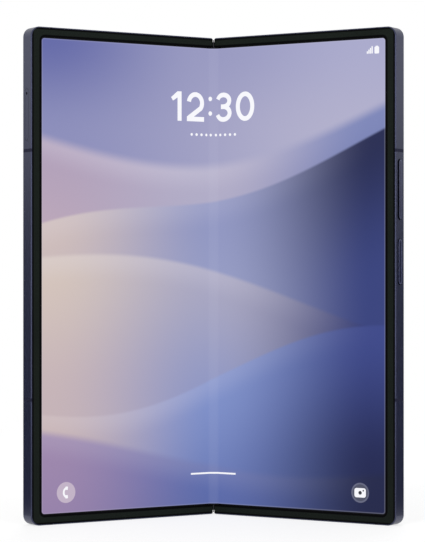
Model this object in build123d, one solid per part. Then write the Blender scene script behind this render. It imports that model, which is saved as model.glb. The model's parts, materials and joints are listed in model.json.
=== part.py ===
from build123d import *
import math
import os

# Book-style foldable smartphone, standing half open on its bottom edges.
# Each half is drawn lying flat: x runs outward from the fold, y runs back from
# the inner rim plane and z runs up. folded() then turns a half about its own
# fold axis to the rest angle. The left half is the mirror image of the right.

# --- driving dimensions, millimetres and degrees ---
HEIGHT = 153.5
HALF_WIDTH = 66.3
THICKNESS = 5.6
FOLDED_THICKNESS = 12.1
REST_FOLD = 32.0

CORNER_RADIUS = 3.0
EDGE_CHAMFER = 0.25
SIDE_WALL = 1.2
END_WALL = 1.05
SEAM_GAP = 0.5
SEAM_CORNER = 1.0
FIT = 0.05
PAST = 1.0                      # how far a cutter runs past what it cuts

BEZEL_THICKNESS = 0.35
BEZEL_LIP = 0.3
SCREEN_SIDE_MARGIN = 3.45
SCREEN_END_MARGIN = 3.05
SCREEN_CORNER = 1.3
DISPLAY_THICKNESS = 0.5
DISPLAY_TUCK = 0.8
SUPPORT_THICKNESS = 0.2
MIDPLATE_THICKNESS = 0.6
GLASS_THICKNESS = 0.6
GLASS_INSET = 0.8
GLASS_START = 2.5
GLASS_CORNER = 2.2

# hinge
AXIS_DEPTH = 1.0
NOSE_RADIUS = 1.2
COVER_CLEARANCE = 0.15
TAIL_THICKNESS = 1.2
COVER_WALL = 0.45
COVER_RIM_DEPTH = 1.65
COVER_END_GAP = 0.1
BRACKET_FRONT = 1.75
ROTOR_INNER = 1.7
ROTOR_OUTER = 2.4
ROTOR_WIDTH = 4.0
ROTOR_CHEEK = 1.0
ROTOR_SWEEP = 105.0
TRACK_MOUTH = 40.0
ARM_FRONT = 1.6
ARM_THICKNESS = 0.6
ARM_START = 3.19
ARM_REACH = 7.0
ARM_SLOT_CLEARANCE = 0.3
MODULE_INSET = 17.0
BEAM_FRONT = 2.2
BEAM_END = 9.0
WING_START = 2.0
WING_ROOT = 8.0
WING_THICKNESS = 0.3
WING_LIFT = 0.02
WING_GAP = 0.2
WING_BRIDGE = 0.8
WING_TILT_SHARE = 1 / 9
CAP_FRONT = 2.3
CAP_LENGTH = 1.2
FIN_WIDTH = 0.3
FIN_FRONT = 0.45
FIN_LENGTH = 1.85
FIN_END_INSET = 0.65

# keys, card tray, socket and sound holes
BAND_WIDTH = 1.0
BAND_DEPTH = 0.4
BAND_LOW = 38.7
BAND_TOP_INSET = 38.1
BAND_SIDE_INSET = 6.8
KEY_DEPTH = 2.8
KEY_GAP = 0.1
KEY_CHAMFER = 0.1
VOLUME_TOP_INSET = 50.05
VOLUME_LENGTH = 18.7
VOLUME_WIDTH = 2.2
VOLUME_PROUD = 0.3
PIVOT_LENGTH = 1.6
POWER_TOP_INSET = 72.3
POWER_LENGTH = 14.2
POWER_WIDTH = 2.6
POWER_PROUD = 0.15
SWITCH_GAP = 0.55
SWITCH_THICKNESS = 0.3
SWITCH_RISE = 1.2
DOME_HEIGHT = 0.3
DOME_WIDTH = 1.2
DOME_SHARE = 0.3
TRAY_TOP_INSET = 27.05
TRAY_LENGTH = 15.9
TRAY_WIDTH = 2.2
TRAY_DEPTH = 3.0
TRAY_PLATE = 0.9
TRAY_REACH = 14.0
TRAY_HEAD_GAP = 0.4
EJECT_OFFSET = 6.55
EJECT_RADIUS = 0.45
CARD_LENGTH = 12.3
CARD_WIDTH = 8.8
CARD_MARGIN = 1.2
PORT_DEPTH = 2.9
PORT_WIDTH = 8.94
PORT_HEIGHT = 3.26
PORT_LENGTH = 7.35
PORT_WALL = 0.3
PORT_BACK_WALL = 1.0
TONGUE_WIDTH = 6.6
TONGUE_THICKNESS = 0.7
TONGUE_RECESS = 0.8
SLOT_START = 8.0
SLOT_LENGTH = 3.6
SLOT_WIDTH = 1.0
SLOT_PITCH = 4.9
SLOT_COUNT = 3
MIC_RADIUS = 0.4
MIC_BOTTOM_OFFSET = 9.0
MIC_TOP_OFFSET = 6.0

# cameras
ISLAND_WIDTH = 16.2
ISLAND_LENGTH = 46.0
ISLAND_SIDE_INSET = 5.3
ISLAND_TOP_INSET = 6.5
ISLAND_PROUD = 0.7
ISLAND_CHAMFER = 0.25
LENS_PITCH = 14.9
LENS_COUNT = 3
RING_OUTER = 6.5
RING_HEIGHT = 1.5
RING_CHAMFER = 0.3
WINDOW_RADIUS = 4.8
WINDOW_RECESS = 0.3
BARREL_RADIUS = 4.0
CAMERA_BODY = 10.6
MODULE_TOP = 4.9
FLASH_SIDE_INSET = 25.1
FLASH_RADIUS = 1.6
FLASH_DEPTH = 0.5
COVER_CAMERA_TOP_INSET = 9.0
COVER_CAMERA_RADIUS = 1.9
EARPIECE_LENGTH = 6.0
EARPIECE_WIDTH = 0.4
EARPIECE_INSET = 1.2
INNER_CAMERA_SIDE_INSET = 21.1
INNER_CAMERA_TOP_INSET = 7.5
INNER_CAMERA_RADIUS = 1.3
INNER_CAMERA_LENGTH = 1.95
SMALL_CAMERA_MARGIN = 0.9

# boards, batteries and the rest of the inside
PART_GAP = 0.2
BOARD_THICKNESS = 0.6
BOARD_MARGIN = 0.8
BOARD_START = 1.8
BATTERY_CORNER = 1.5
BATTERY_SWELL_GAP = 4.0
BATTERY_SIDE_GAP = 2.5
LEFT_BATTERY_START = 5.0
LEFT_BATTERY_LOW = 34.0
RIGHT_BATTERY_START = 4.0
SUB_BOARD_LENGTH = 35.5
MAIN_BOARD_LENGTH = 51.5
BOTTOM_BOARD_TOP = 18.5
BOTTOM_BOARD_INSET = 3.1
BOARD_CAMERA_GAP = 1.1
BOARD_READER_GAP = 2.4
COVER_DISPLAY_THICKNESS = 0.6
COVER_DISPLAY_TOP_INSET = 3.2
RECEIVER_WIDTH = 19.0
LOUDSPEAKER_MARGIN = 3.1
LOUDSPEAKER_LENGTH = 15.1
MOTOR_WIDTH = 9.5
MOTOR_LENGTH = 10.0
MOTOR_PORT_GAP = 2.7
MOTOR_LOW = 6.5
COIL_OUTER = 20.0
COIL_INNER = 10.0
COIL_THICKNESS = 0.35
COIL_HEIGHT = 60.0
MAGNET_WIDTH = 2.6
MAGNET_LENGTH = 8.0
MAGNET_LOW = 24.0
MAGNET_KEY_OFFSET = 17.2
SHIELD_WALL = 0.25
SHIELD_HEIGHT = 1.4
SHIELD_INNER_MARGIN = 4.0
SHIELD_OUTER_MARGIN = 8.0
SHIELD_END_MARGIN = 6.0
CHAMBER_MARGIN = 1.0
CHAMBER_THICKNESS = 0.35

# --- worked out from them ---
HINGE_GAP = FOLDED_THICKNESS - 2 * THICKNESS
AXIS_X = AXIS_DEPTH + HINGE_GAP / 2
COVER_RADIUS = THICKNESS - AXIS_DEPTH - TAIL_THICKNESS - COVER_CLEARANCE
TAIL_RADIUS = COVER_RADIUS + COVER_CLEARANCE
COVER_INNER = COVER_RADIUS - COVER_WALL
BRACKET_RADIUS = COVER_INNER - FIT
COVER_BOTTOM = END_WALL + COVER_END_GAP
COVER_TOP = HEIGHT - COVER_BOTTOM
NOSE_X = SEAM_GAP / 2

DISPLAY_FRONT = BEZEL_THICKNESS
DISPLAY_BACK = DISPLAY_FRONT + DISPLAY_THICKNESS
SUPPORT_BACK = DISPLAY_BACK + SUPPORT_THICKNESS
POCKET_FRONT = SUPPORT_BACK + MIDPLATE_THICKNESS
GLASS_FRONT = THICKNESS - GLASS_THICKNESS
POCKET_OUTER = HALF_WIDTH - SIDE_WALL
POCKET_TOP = HEIGHT - SIDE_WALL
SCREEN_OUTER = HALF_WIDTH - SCREEN_SIDE_MARGIN
DISPLAY_OUTER = SCREEN_OUTER + DISPLAY_TUCK
DISPLAY_LOW = SCREEN_END_MARGIN - DISPLAY_TUCK
DISPLAY_HIGH = HEIGHT - DISPLAY_LOW
PANEL_START = 2 * AXIS_X
WING_FRONT = SUPPORT_BACK + WING_LIFT
WING_PIVOT_DEPTH = WING_FRONT + WING_THICKNESS / 2
GLASS_OUTER = HALF_WIDTH - GLASS_INSET
MODULE_CENTRES = (MODULE_INSET, HEIGHT / 2, HEIGHT - MODULE_INSET)
ROTOR_OFFSET = (ROTOR_WIDTH + ROTOR_CHEEK) / 2
ARM_HALF_SLOT = ROTOR_WIDTH / 2 + ARM_SLOT_CLEARANCE

BAND_HEIGHTS = (BAND_LOW, HEIGHT - BAND_TOP_INSET)
VOLUME_Z = HEIGHT - VOLUME_TOP_INSET
POWER_Z = HEIGHT - POWER_TOP_INSET
TRAY_Z = HEIGHT - TRAY_TOP_INSET
EJECT_Z = TRAY_Z + EJECT_OFFSET
MAGNET_HEIGHTS = (MAGNET_LOW, POWER_Z - MAGNET_KEY_OFFSET)
PORT_X = HALF_WIDTH / 2
SLOT_CENTRES = [PORT_X + PORT_WIDTH / 2 + SLOT_START + i * SLOT_PITCH for i in range(SLOT_COUNT)]

ISLAND_X = HALF_WIDTH - ISLAND_SIDE_INSET - ISLAND_WIDTH / 2
ISLAND_Z = HEIGHT - ISLAND_TOP_INSET - ISLAND_LENGTH / 2
ISLAND_BACK = THICKNESS + ISLAND_PROUD
LENS_HEIGHTS = [ISLAND_Z + LENS_PITCH * (i - (LENS_COUNT - 1) / 2) for i in range(LENS_COUNT)]
FLASH_X = HALF_WIDTH - FLASH_SIDE_INSET
FLASH_Z = ISLAND_Z + LENS_PITCH / 2
COVER_MIDDLE = (GLASS_START + GLASS_OUTER) / 2
COVER_CAMERA_Z = HEIGHT - COVER_CAMERA_TOP_INSET
INNER_CAMERA_X = HALF_WIDTH - INNER_CAMERA_SIDE_INSET
INNER_CAMERA_Z = HEIGHT - INNER_CAMERA_TOP_INSET

BOARD_BACK = POCKET_FRONT + BOARD_THICKNESS
BOARD_TOP = POCKET_TOP - BOARD_MARGIN
BOARD_INNER = BEAM_END + BOARD_START
SUB_BOARD_LOW = BOARD_TOP - SUB_BOARD_LENGTH
MAIN_BOARD_LOW = BOARD_TOP - MAIN_BOARD_LENGTH
MAIN_BOARD_OUTER = ISLAND_X - CAMERA_BODY / 2 - BOARD_CAMERA_GAP
BATTERY_OUTER = POCKET_OUTER - MAGNET_WIDTH - BATTERY_SIDE_GAP
RIGHT_BATTERY_LOW = BOTTOM_BOARD_TOP + BATTERY_SWELL_GAP
COVER_DISPLAY_FRONT = GLASS_FRONT - COVER_DISPLAY_THICKNESS
SHIELD_INNER = BOARD_INNER + SHIELD_INNER_MARGIN
SHIELD_OUTER = MAIN_BOARD_OUTER - SHIELD_OUTER_MARGIN
SHIELD_LOW = MAIN_BOARD_LOW + SHIELD_END_MARGIN
SHIELD_HIGH = BOARD_TOP - SHIELD_END_MARGIN
REST_SIN = math.sin(math.radians(REST_FOLD))
REST_COS = math.cos(math.radians(REST_FOLD))

RIGHT = 1
LEFT = -1


# --- drawing helpers ---
def rect(x0, x1, y0, y1):
    """A rectangle between two corners of a sketch."""
    return Pos((x0 + x1) / 2, (y0 + y1) / 2) * Rectangle(x1 - x0, y1 - y0)


def clipped(x0, x1, z0, z1, cut):
    """A front-view rectangle with its four corners cut off."""
    sketch = rect(x0, x1, z0, z1)
    return chamfer(sketch.vertices(), cut)


def outer_rounded(x0, x1, z0, z1, radius):
    """A front-view rectangle with round corners on its outer side only."""
    sketch = rect(x0, x1, z0, z1)
    return fillet(sketch.vertices().group_by(Axis.X)[-1], radius)


def seam_rounded(sketch, radius):
    """The same outline with its two corners at the fold rounded."""
    return fillet(sketch.vertices().group_by(Axis.X)[0], radius)


def plate(sketch, front, back):
    """A front-view outline given its thickness from front to back."""
    return Plane.XZ.offset(-back) * extrude(sketch, amount=back - front)


def block(x0, x1, y0, y1, z0, z1):
    return Pos((x0 + x1) / 2, (y0 + y1) / 2, (z0 + z1) / 2) * Box(x1 - x0, y1 - y0, z1 - z0)


def pin(x, z, radius, front, back):
    """A round bar that runs from front to back."""
    return plate(Pos(x, z) * Circle(radius), front, back)


def column(sketch, low, high):
    """A top-view outline given its height."""
    return Pos(0, 0, low) * extrude(sketch, amount=high - low)


def side_slot(length, width, depth, height, x0, x1):
    """A stadium bar across a side wall, long in z."""
    outline = Pos(depth, height) * Rot(0, 0, 90) * SlotOverall(length, width)
    return Plane.YZ.offset(x0) * extrude(outline, amount=x1 - x0)


def end_slot(length, width, x, depth, z0, z1):
    """A stadium bar through an end wall, long in x."""
    return Pos(x, depth, z0) * extrude(SlotOverall(length, width), amount=z1 - z0)


def end_hole(x, z0, z1):
    """A microphone hole through an end wall."""
    return column(Pos(x, PORT_DEPTH) * Circle(MIC_RADIUS), z0, z1)


def near_point(x, y):
    """Where a point of the flat right half lies once the half is at rest."""
    dx = x - AXIS_X
    dy = y - AXIS_DEPTH
    return (AXIS_X + dx * REST_COS + dy * REST_SIN, AXIS_DEPTH - dx * REST_SIN + dy * REST_COS)


# The row's origin is the middle of the bottom of the resting phone.
FRONT_REACH = min(near_point(HALF_WIDTH, EDGE_CHAMFER)[1], near_point(HALF_WIDTH - EDGE_CHAMFER, 0)[1])
BACK_REACH = max(near_point(NOSE_X, THICKNESS - EDGE_CHAMFER)[1],
                 near_point(NOSE_X + EDGE_CHAMFER, THICKNESS)[1])
ORIGIN_SHIFT = -(FRONT_REACH + BACK_REACH) / 2


def placed(shape):
    """A hinge part, moved to the row's origin."""
    return Pos(0, ORIGIN_SHIFT, 0) * shape


def folded(shape, side):
    """A part of a flat half, mirrored for the left side and folded to the rest angle."""
    if side == LEFT:
        shape = mirror(shape, about=Plane.YZ)
    axis = Axis((side * AXIS_X, AXIS_DEPTH, 0), (0, 0, 1))
    return placed(shape.rotate(axis, -side * REST_FOLD))


# --- the two frames ---
def nose_cutter(low, high):
    """What is taken off the fold end so that it can roll about its axis."""
    outline = rect(-PAST, AXIS_X, -PAST, AXIS_DEPTH) - Pos(AXIS_X, AXIS_DEPTH) * Circle(NOSE_RADIUS)
    return column(outline, low, high)


def half_block():
    """The outer form of a half, before anything is cut out."""
    sketch = seam_rounded(outer_rounded(NOSE_X, HALF_WIDTH, 0, HEIGHT, CORNER_RADIUS), SEAM_CORNER)
    body = plate(sketch, 0, THICKNESS)
    rims = body.edges().group_by(Axis.Y)
    return chamfer(rims[0] + rims[-1], EDGE_CHAMFER)


def hinge_cavity():
    """The room for the hinge, with a rear shell that is round about the fold axis."""
    outline = rect(-PAST, WING_ROOT + WING_GAP, -PAST, BEAM_FRONT)
    outline += rect(-PAST, AXIS_X, -PAST, AXIS_DEPTH + TAIL_RADIUS)
    outline += Pos(AXIS_X, AXIS_DEPTH) * Circle(TAIL_RADIUS)
    return column(outline, END_WALL, HEIGHT - END_WALL)


def antenna_bands():
    """Plastic breaks in the metal rim: two on the side, one at each end."""
    body = half_block()
    half = BAND_WIDTH / 2
    x = HALF_WIDTH - BAND_SIDE_INSET
    slabs = [block(HALF_WIDTH - BAND_DEPTH, HALF_WIDTH + PAST, -PAST, THICKNESS + PAST, z - half, z + half)
             for z in BAND_HEIGHTS]
    slabs += [block(x - half, x + half, -PAST, THICKNESS + PAST, low, high)
              for low, high in ((-PAST, BAND_DEPTH), (HEIGHT - BAND_DEPTH, HEIGHT + PAST))]
    lip = plate(rect(-PAST, HALF_WIDTH - BEZEL_LIP, BEZEL_LIP, HEIGHT - BEZEL_LIP), -PAST, BEZEL_THICKNESS)
    rear = plate(rect(-PAST, GLASS_OUTER, GLASS_INSET, HEIGHT - GLASS_INSET), GLASS_FRONT, THICKNESS + PAST)
    return [(body & slab) - lip - rear for slab in slabs]


def bare_frame():
    """Rim, mid-plate, hinge beam and rear shell of a half, in one milled piece."""
    body = half_block()
    body -= nose_cutter(-PAST, HEIGHT + PAST)
    body -= plate(outer_rounded(-PAST, HALF_WIDTH - BEZEL_LIP, BEZEL_LIP, HEIGHT - BEZEL_LIP,
                                CORNER_RADIUS - BEZEL_LIP), -PAST, BEZEL_THICKNESS)
    body -= plate(rect(WING_ROOT, DISPLAY_OUTER + FIT, DISPLAY_LOW - FIT, DISPLAY_HIGH + FIT), 0, SUPPORT_BACK)
    body -= hinge_cavity()
    body -= plate(rect(BEAM_END, POCKET_OUTER, SIDE_WALL, POCKET_TOP), POCKET_FRONT, GLASS_FRONT)
    body -= plate(outer_rounded(GLASS_START, GLASS_OUTER, GLASS_INSET, HEIGHT - GLASS_INSET, GLASS_CORNER),
                  GLASS_FRONT, THICKNESS + PAST)
    for band in antenna_bands():
        body -= band
    return body


def right_frame():
    body = bare_frame()
    for length, width, z in ((VOLUME_LENGTH, VOLUME_WIDTH, VOLUME_Z), (POWER_LENGTH, POWER_WIDTH, POWER_Z)):
        body -= side_slot(length + 2 * KEY_GAP, width + 2 * KEY_GAP, KEY_DEPTH, z,
                          POCKET_OUTER - PAST, HALF_WIDTH + PAST)
    body -= end_slot(PORT_WIDTH - 2 * PORT_WALL, PORT_HEIGHT - 2 * PORT_WALL, PORT_X, PORT_DEPTH,
                     -PAST, SIDE_WALL + PAST)
    body -= port_room(0, GLASS_FRONT)
    for x in SLOT_CENTRES:
        body -= end_slot(SLOT_LENGTH, SLOT_WIDTH, x, PORT_DEPTH, -PAST, SIDE_WALL + PAST)
    body -= end_hole(PORT_X - MIC_BOTTOM_OFFSET, -PAST, SIDE_WALL + PAST)
    return body - pin(INNER_CAMERA_X, INNER_CAMERA_Z, INNER_CAMERA_RADIUS + PART_GAP,
                      SUPPORT_BACK - PAST, POCKET_FRONT + PAST)


def left_frame():
    body = bare_frame()
    body -= side_slot(TRAY_LENGTH + 2 * KEY_GAP, TRAY_WIDTH + 2 * KEY_GAP, TRAY_DEPTH, TRAY_Z,
                      POCKET_OUTER - PAST, HALF_WIDTH + PAST)
    for x in SLOT_CENTRES:
        body -= end_slot(SLOT_LENGTH, SLOT_WIDTH, x, PORT_DEPTH, POCKET_TOP - PAST, HEIGHT + PAST)
    return body - end_hole(PORT_X - MIC_TOP_OFFSET, POCKET_TOP - PAST, HEIGHT + PAST)


def bezel():
    """The low plastic rim round three sides of the screen."""
    outer = outer_rounded(NOSE_X, HALF_WIDTH - BEZEL_LIP - FIT, BEZEL_LIP + FIT, HEIGHT - BEZEL_LIP - FIT,
                          CORNER_RADIUS - BEZEL_LIP - FIT)
    window = outer_rounded(-PAST, SCREEN_OUTER, SCREEN_END_MARGIN, HEIGHT - SCREEN_END_MARGIN, SCREEN_CORNER)
    outline = seam_rounded(outer, SEAM_CORNER - BEZEL_LIP) - window
    return plate(outline, 0, BEZEL_THICKNESS) - nose_cutter(-PAST, HEIGHT + PAST)


# --- the folding display ---
def panel_outline():
    """The stiff part of the display in one half, with its edges tucked under the bezel."""
    return outer_rounded(PANEL_START, DISPLAY_OUTER, DISPLAY_LOW, DISPLAY_HIGH, SCREEN_CORNER + DISPLAY_TUCK)


def display_panel():
    return plate(panel_outline(), DISPLAY_FRONT, DISPLAY_BACK)


def support_plate(side):
    body = plate(panel_outline(), DISPLAY_BACK, SUPPORT_BACK)
    if side == RIGHT:
        body -= pin(INNER_CAMERA_X, INNER_CAMERA_Z, INNER_CAMERA_RADIUS, 0, SUPPORT_BACK + PAST)
    return body


def display_fold_strip():
    """The bending part of the display between the two panels, as an arc tangent to both."""
    end_x, end_y = near_point(PANEL_START, DISPLAY_FRONT)
    bend = end_x / REST_SIN
    centre_y = end_y - bend * REST_COS
    reach = 2 * bend
    wedge = Polyline((0, centre_y), (-reach * REST_SIN, centre_y + reach * REST_COS),
                     (reach * REST_SIN, centre_y + reach * REST_COS), (0, centre_y))
    ring = Pos(0, centre_y) * (Circle(bend + DISPLAY_THICKNESS) - Circle(bend))
    low = SCREEN_END_MARGIN + FIT
    return placed(column(ring & make_face(wedge), low, HEIGHT - low))


# --- hinge ---
def barrel_outline(radius, front):
    """Top view of the hinge barrel: round about both fold axes, flat behind, cut off in front."""
    middle = rect(-AXIS_X, AXIS_X, AXIS_DEPTH, AXIS_DEPTH + radius)
    ends = Pos(AXIS_X, AXIS_DEPTH) * Circle(radius) + Pos(-AXIS_X, AXIS_DEPTH) * Circle(radius)
    reach = AXIS_X + radius + PAST
    return (middle + ends) & rect(-reach, reach, front, AXIS_DEPTH + radius + PAST)


def barrel_filling(front):
    """Top view of what fills the spine: clear of its round sides and seated on its flat back."""
    seat = AXIS_DEPTH + COVER_INNER
    return barrel_outline(BRACKET_RADIUS, front) + rect(-AXIS_X, AXIS_X, seat - 2 * FIT, seat)


def arm_heights(side):
    """Heights of one half's rotor arms, one beside each arm of the other half."""
    return [z + side * ROTOR_OFFSET for z in MODULE_CENTRES]


def spine_cover():
    """The rounded metal spine that closes the back of the fold, notched for the arms."""
    body = column(barrel_outline(COVER_RADIUS, COVER_RIM_DEPTH) - barrel_outline(COVER_INNER, 0),
                  COVER_BOTTOM, COVER_TOP)
    notch_back = ARM_FRONT + ARM_THICKNESS + ARM_SLOT_CLEARANCE
    for side in (RIGHT, LEFT):
        reach = sorted((0, side * (AXIS_X + COVER_RADIUS + PAST)))
        for z in arm_heights(side):
            body -= block(*reach, 0, notch_back, z - ARM_HALF_SLOT, z + ARM_HALF_SLOT)
    return placed(body)


def rotor_track(side):
    """The round groove that a rotor slides in, with a mouth for its arm."""
    core = Circle(ROTOR_INNER - FIT)
    reach = 2 * COVER_RADIUS
    mouth = make_face(Polyline((0, 0), (0, -reach), (reach, -reach),
                               (reach, reach * math.tan(math.radians(TRACK_MOUTH))), (0, 0)))
    track = Pos(AXIS_X, AXIS_DEPTH) * (Circle(ROTOR_OUTER + FIT) + mouth - core)
    if side == LEFT:
        track = mirror(track, about=Plane.YZ)
    return track


def hinge_bracket(centre):
    """One hinge module: a block inside the spine with a curved track for each half's rotor."""
    half_length = (2 * ROTOR_WIDTH + 3 * ROTOR_CHEEK) / 2
    body = column(barrel_filling(BRACKET_FRONT), centre - half_length, centre + half_length)
    half_track = ROTOR_WIDTH / 2 + FIT
    for side in (RIGHT, LEFT):
        z = centre + side * ROTOR_OFFSET
        body -= column(rotor_track(side), z - half_track, z + half_track)
    return body


def hinge_brackets():
    return placed(Compound(children=[hinge_bracket(z) for z in MODULE_CENTRES]))


def rotor_arm(z):
    """A curved rotor and the flat arm that carries it, seated on the half's hinge beam."""
    arm_middle = ARM_FRONT + ARM_THICKNESS / 2 - AXIS_DEPTH
    first = math.degrees(math.asin(arm_middle / ROTOR_OUTER))
    rays = [math.radians(first + share * ROTOR_SWEEP) for share in (0, 0.25, 0.5, 0.75, 1)]
    reach = 2 * ROTOR_OUTER
    wedge = Polyline((0, 0), *[(reach * math.cos(ray), reach * math.sin(ray)) for ray in rays], (0, 0))
    sector = (Circle(ROTOR_OUTER) - Circle(ROTOR_INNER)) & make_face(wedge)
    outline = Pos(AXIS_X, AXIS_DEPTH) * sector
    outline += rect(ARM_START, ARM_REACH, ARM_FRONT, ARM_FRONT + ARM_THICKNESS)
    return column(outline, z - ROTOR_WIDTH / 2, z + ROTOR_WIDTH / 2)


def rotor_arms(side):
    return Compound(children=[rotor_arm(z) for z in arm_heights(side)])


def wing_plate(side):
    """The plate that backs the display beside the fold; it tilts on its round outer edge."""
    body = block(WING_START, WING_ROOT, WING_FRONT, WING_FRONT + WING_THICKNESS, DISPLAY_LOW, DISPLAY_HIGH)
    body += column(Pos(WING_ROOT, WING_PIVOT_DEPTH) * Circle(WING_THICKNESS / 2), DISPLAY_LOW, DISPLAY_HIGH)
    for z in arm_heights(side):
        body -= block(WING_START - PAST, WING_ROOT - WING_BRIDGE, 0, THICKNESS, z - ARM_HALF_SLOT,
                      z + ARM_HALF_SLOT)
    tilt_axis = Axis((WING_ROOT, WING_PIVOT_DEPTH, 0), (0, 0, 1))
    return body.rotate(tilt_axis, -REST_FOLD * WING_TILT_SHARE)


def hinge_end_cap(low, high, fin_low, fin_high):
    """The plug in an end of the spine, with a thin fin that fills the seam between the rims."""
    body = column(barrel_filling(CAP_FRONT), low, high)
    body += block(-FIN_WIDTH / 2, FIN_WIDTH / 2, FIN_FRONT, CAP_FRONT + FIN_WIDTH, fin_low, fin_high)
    return placed(body)


# --- left half ---
def rear_cover(hole_sketches):
    """The glass on the back of a half."""
    outline = outer_rounded(GLASS_START + FIT, GLASS_OUTER - FIT, GLASS_INSET + FIT, HEIGHT - GLASS_INSET - FIT,
                            GLASS_CORNER - FIT)
    for hole in hole_sketches:
        outline -= hole
    return plate(outline, GLASS_FRONT, THICKNESS)


def cover_glass():
    slot_height = HEIGHT - GLASS_INSET - EARPIECE_INSET
    return rear_cover([Pos(COVER_MIDDLE, slot_height) * SlotOverall(EARPIECE_LENGTH, EARPIECE_WIDTH)])


def cover_display_panel():
    """The outer screen, bonded to the inside of the cover glass."""
    body = block(BEAM_END + PART_GAP, POCKET_OUTER - PART_GAP, COVER_DISPLAY_FRONT, GLASS_FRONT,
                 SIDE_WALL + BOARD_MARGIN, HEIGHT - COVER_DISPLAY_TOP_INSET)
    return body - pin(COVER_MIDDLE, COVER_CAMERA_Z, COVER_CAMERA_RADIUS + PART_GAP, 0, THICKNESS)


def battery(x0, z0, z1, back):
    return plate(clipped(x0, BATTERY_OUTER, z0, z1, BATTERY_CORNER), POCKET_FRONT, back)


def left_battery():
    return battery(BEAM_END + LEFT_BATTERY_START, LEFT_BATTERY_LOW, SUB_BOARD_LOW - BATTERY_SWELL_GAP,
                   COVER_DISPLAY_FRONT - PART_GAP)


def sub_board():
    outer = HALF_WIDTH - TRAY_REACH - 2 * PART_GAP - BOARD_READER_GAP
    return block(BOARD_INNER, outer, POCKET_FRONT, BOARD_BACK, SUB_BOARD_LOW, BOARD_TOP)


def sim_reader():
    """The folded metal shell that the tray slides into."""
    inner = HALF_WIDTH - TRAY_REACH - 2 * PART_GAP
    front = TRAY_DEPTH - TRAY_PLATE / 2 - PART_GAP
    back = TRAY_DEPTH + TRAY_PLATE / 2 + PART_GAP
    low = TRAY_Z - TRAY_LENGTH / 2 + PART_GAP
    high = TRAY_Z + TRAY_LENGTH / 2 - PART_GAP
    wall = SHIELD_WALL
    shell = block(inner - wall, POCKET_OUTER - PART_GAP, POCKET_FRONT, back + wall, low - wall, high + wall)
    return shell - block(inner, POCKET_OUTER, front, back, low, high)


def sim_tray():
    """Tray with a rim head, a card window and an ejector hole."""
    head = side_slot(TRAY_LENGTH, TRAY_WIDTH, TRAY_DEPTH, TRAY_Z, POCKET_OUTER + TRAY_HEAD_GAP, HALF_WIDTH)
    half = TRAY_LENGTH / 2 - 3 * PART_GAP
    inner = HALF_WIDTH - TRAY_REACH
    tongue = block(inner, POCKET_OUTER + 2 * TRAY_HEAD_GAP, TRAY_DEPTH - TRAY_PLATE / 2,
                   TRAY_DEPTH + TRAY_PLATE / 2, TRAY_Z - half, TRAY_Z + half)
    card = block(inner + CARD_MARGIN, inner + CARD_MARGIN + CARD_WIDTH, TRAY_DEPTH - TRAY_PLATE,
                 TRAY_DEPTH + TRAY_PLATE / 4, TRAY_Z - CARD_LENGTH / 2, TRAY_Z + CARD_LENGTH / 2)
    drill = Plane.YZ.offset(POCKET_OUTER) * extrude(Pos(TRAY_DEPTH, EJECT_Z) * Circle(EJECT_RADIUS),
                                                    amount=SIDE_WALL + PAST)
    return head + tongue - card - drill


def receiver_speaker():
    """The earpiece speaker, between the cover camera and the end wall."""
    low = COVER_CAMERA_Z + COVER_CAMERA_RADIUS + SMALL_CAMERA_MARGIN + PART_GAP
    return block(COVER_MIDDLE - RECEIVER_WIDTH / 2, COVER_MIDDLE + RECEIVER_WIDTH / 2, BOARD_BACK,
                 COVER_DISPLAY_FRONT - PART_GAP, low, POCKET_TOP - PART_GAP)


def small_camera(x, z, radius, body_front, body_back, tip):
    """A square camera module with a round barrel towards its window."""
    half = radius + SMALL_CAMERA_MARGIN
    near = min(body_front, tip)
    far = max(body_back, tip)
    return block(x - half, x + half, body_front, body_back, z - half, z + half) + pin(x, z, radius, near, far)


def cover_camera():
    return small_camera(COVER_MIDDLE, COVER_CAMERA_Z, COVER_CAMERA_RADIUS, BOARD_BACK,
                        COVER_DISPLAY_FRONT - PART_GAP, GLASS_FRONT)


def magnets():
    """Bar magnets beside the outer wall that hold the folded halves together."""
    half = MAGNET_LENGTH / 2
    return Compound(children=[block(POCKET_OUTER - MAGNET_WIDTH, POCKET_OUTER, POCKET_FRONT,
                                    COVER_DISPLAY_FRONT - PART_GAP, z - half, z + half)
                              for z in MAGNET_HEIGHTS])


# --- right half ---
def island_outline(clearance):
    """The pill of the camera island, grown by a clearance."""
    pill = SlotOverall(ISLAND_LENGTH + 2 * clearance, ISLAND_WIDTH + 2 * clearance)
    return Pos(ISLAND_X, ISLAND_Z) * Rot(0, 0, 90) * pill


def rear_glass():
    return rear_cover([island_outline(FIT), Pos(FLASH_X, FLASH_Z) * Circle(FLASH_RADIUS + FIT)])


def camera_island():
    """The raised pill that carries the three lens rings."""
    body = plate(island_outline(0), MODULE_TOP, ISLAND_BACK)
    body = chamfer(body.edges().group_by(Axis.Y)[-1], ISLAND_CHAMFER)
    for z in LENS_HEIGHTS:
        body -= pin(ISLAND_X, z, BARREL_RADIUS + PART_GAP, 0, ISLAND_BACK + PAST)
    return body


def lens_ring(z):
    back = ISLAND_BACK + RING_HEIGHT
    body = pin(ISLAND_X, z, RING_OUTER, ISLAND_BACK, back)
    body = chamfer(body.edges().group_by(Axis.Y)[-1], RING_CHAMFER)
    return body - pin(ISLAND_X, z, WINDOW_RADIUS + FIT, 0, back + PAST)


def camera_lens_rings():
    return Compound(children=[lens_ring(z) for z in LENS_HEIGHTS])


def camera_lens_windows():
    """Thick glass discs that rest on the island round each barrel."""
    back = ISLAND_BACK + RING_HEIGHT - WINDOW_RECESS
    return Compound(children=[pin(ISLAND_X, z, WINDOW_RADIUS, ISLAND_BACK, back) for z in LENS_HEIGHTS])


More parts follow.
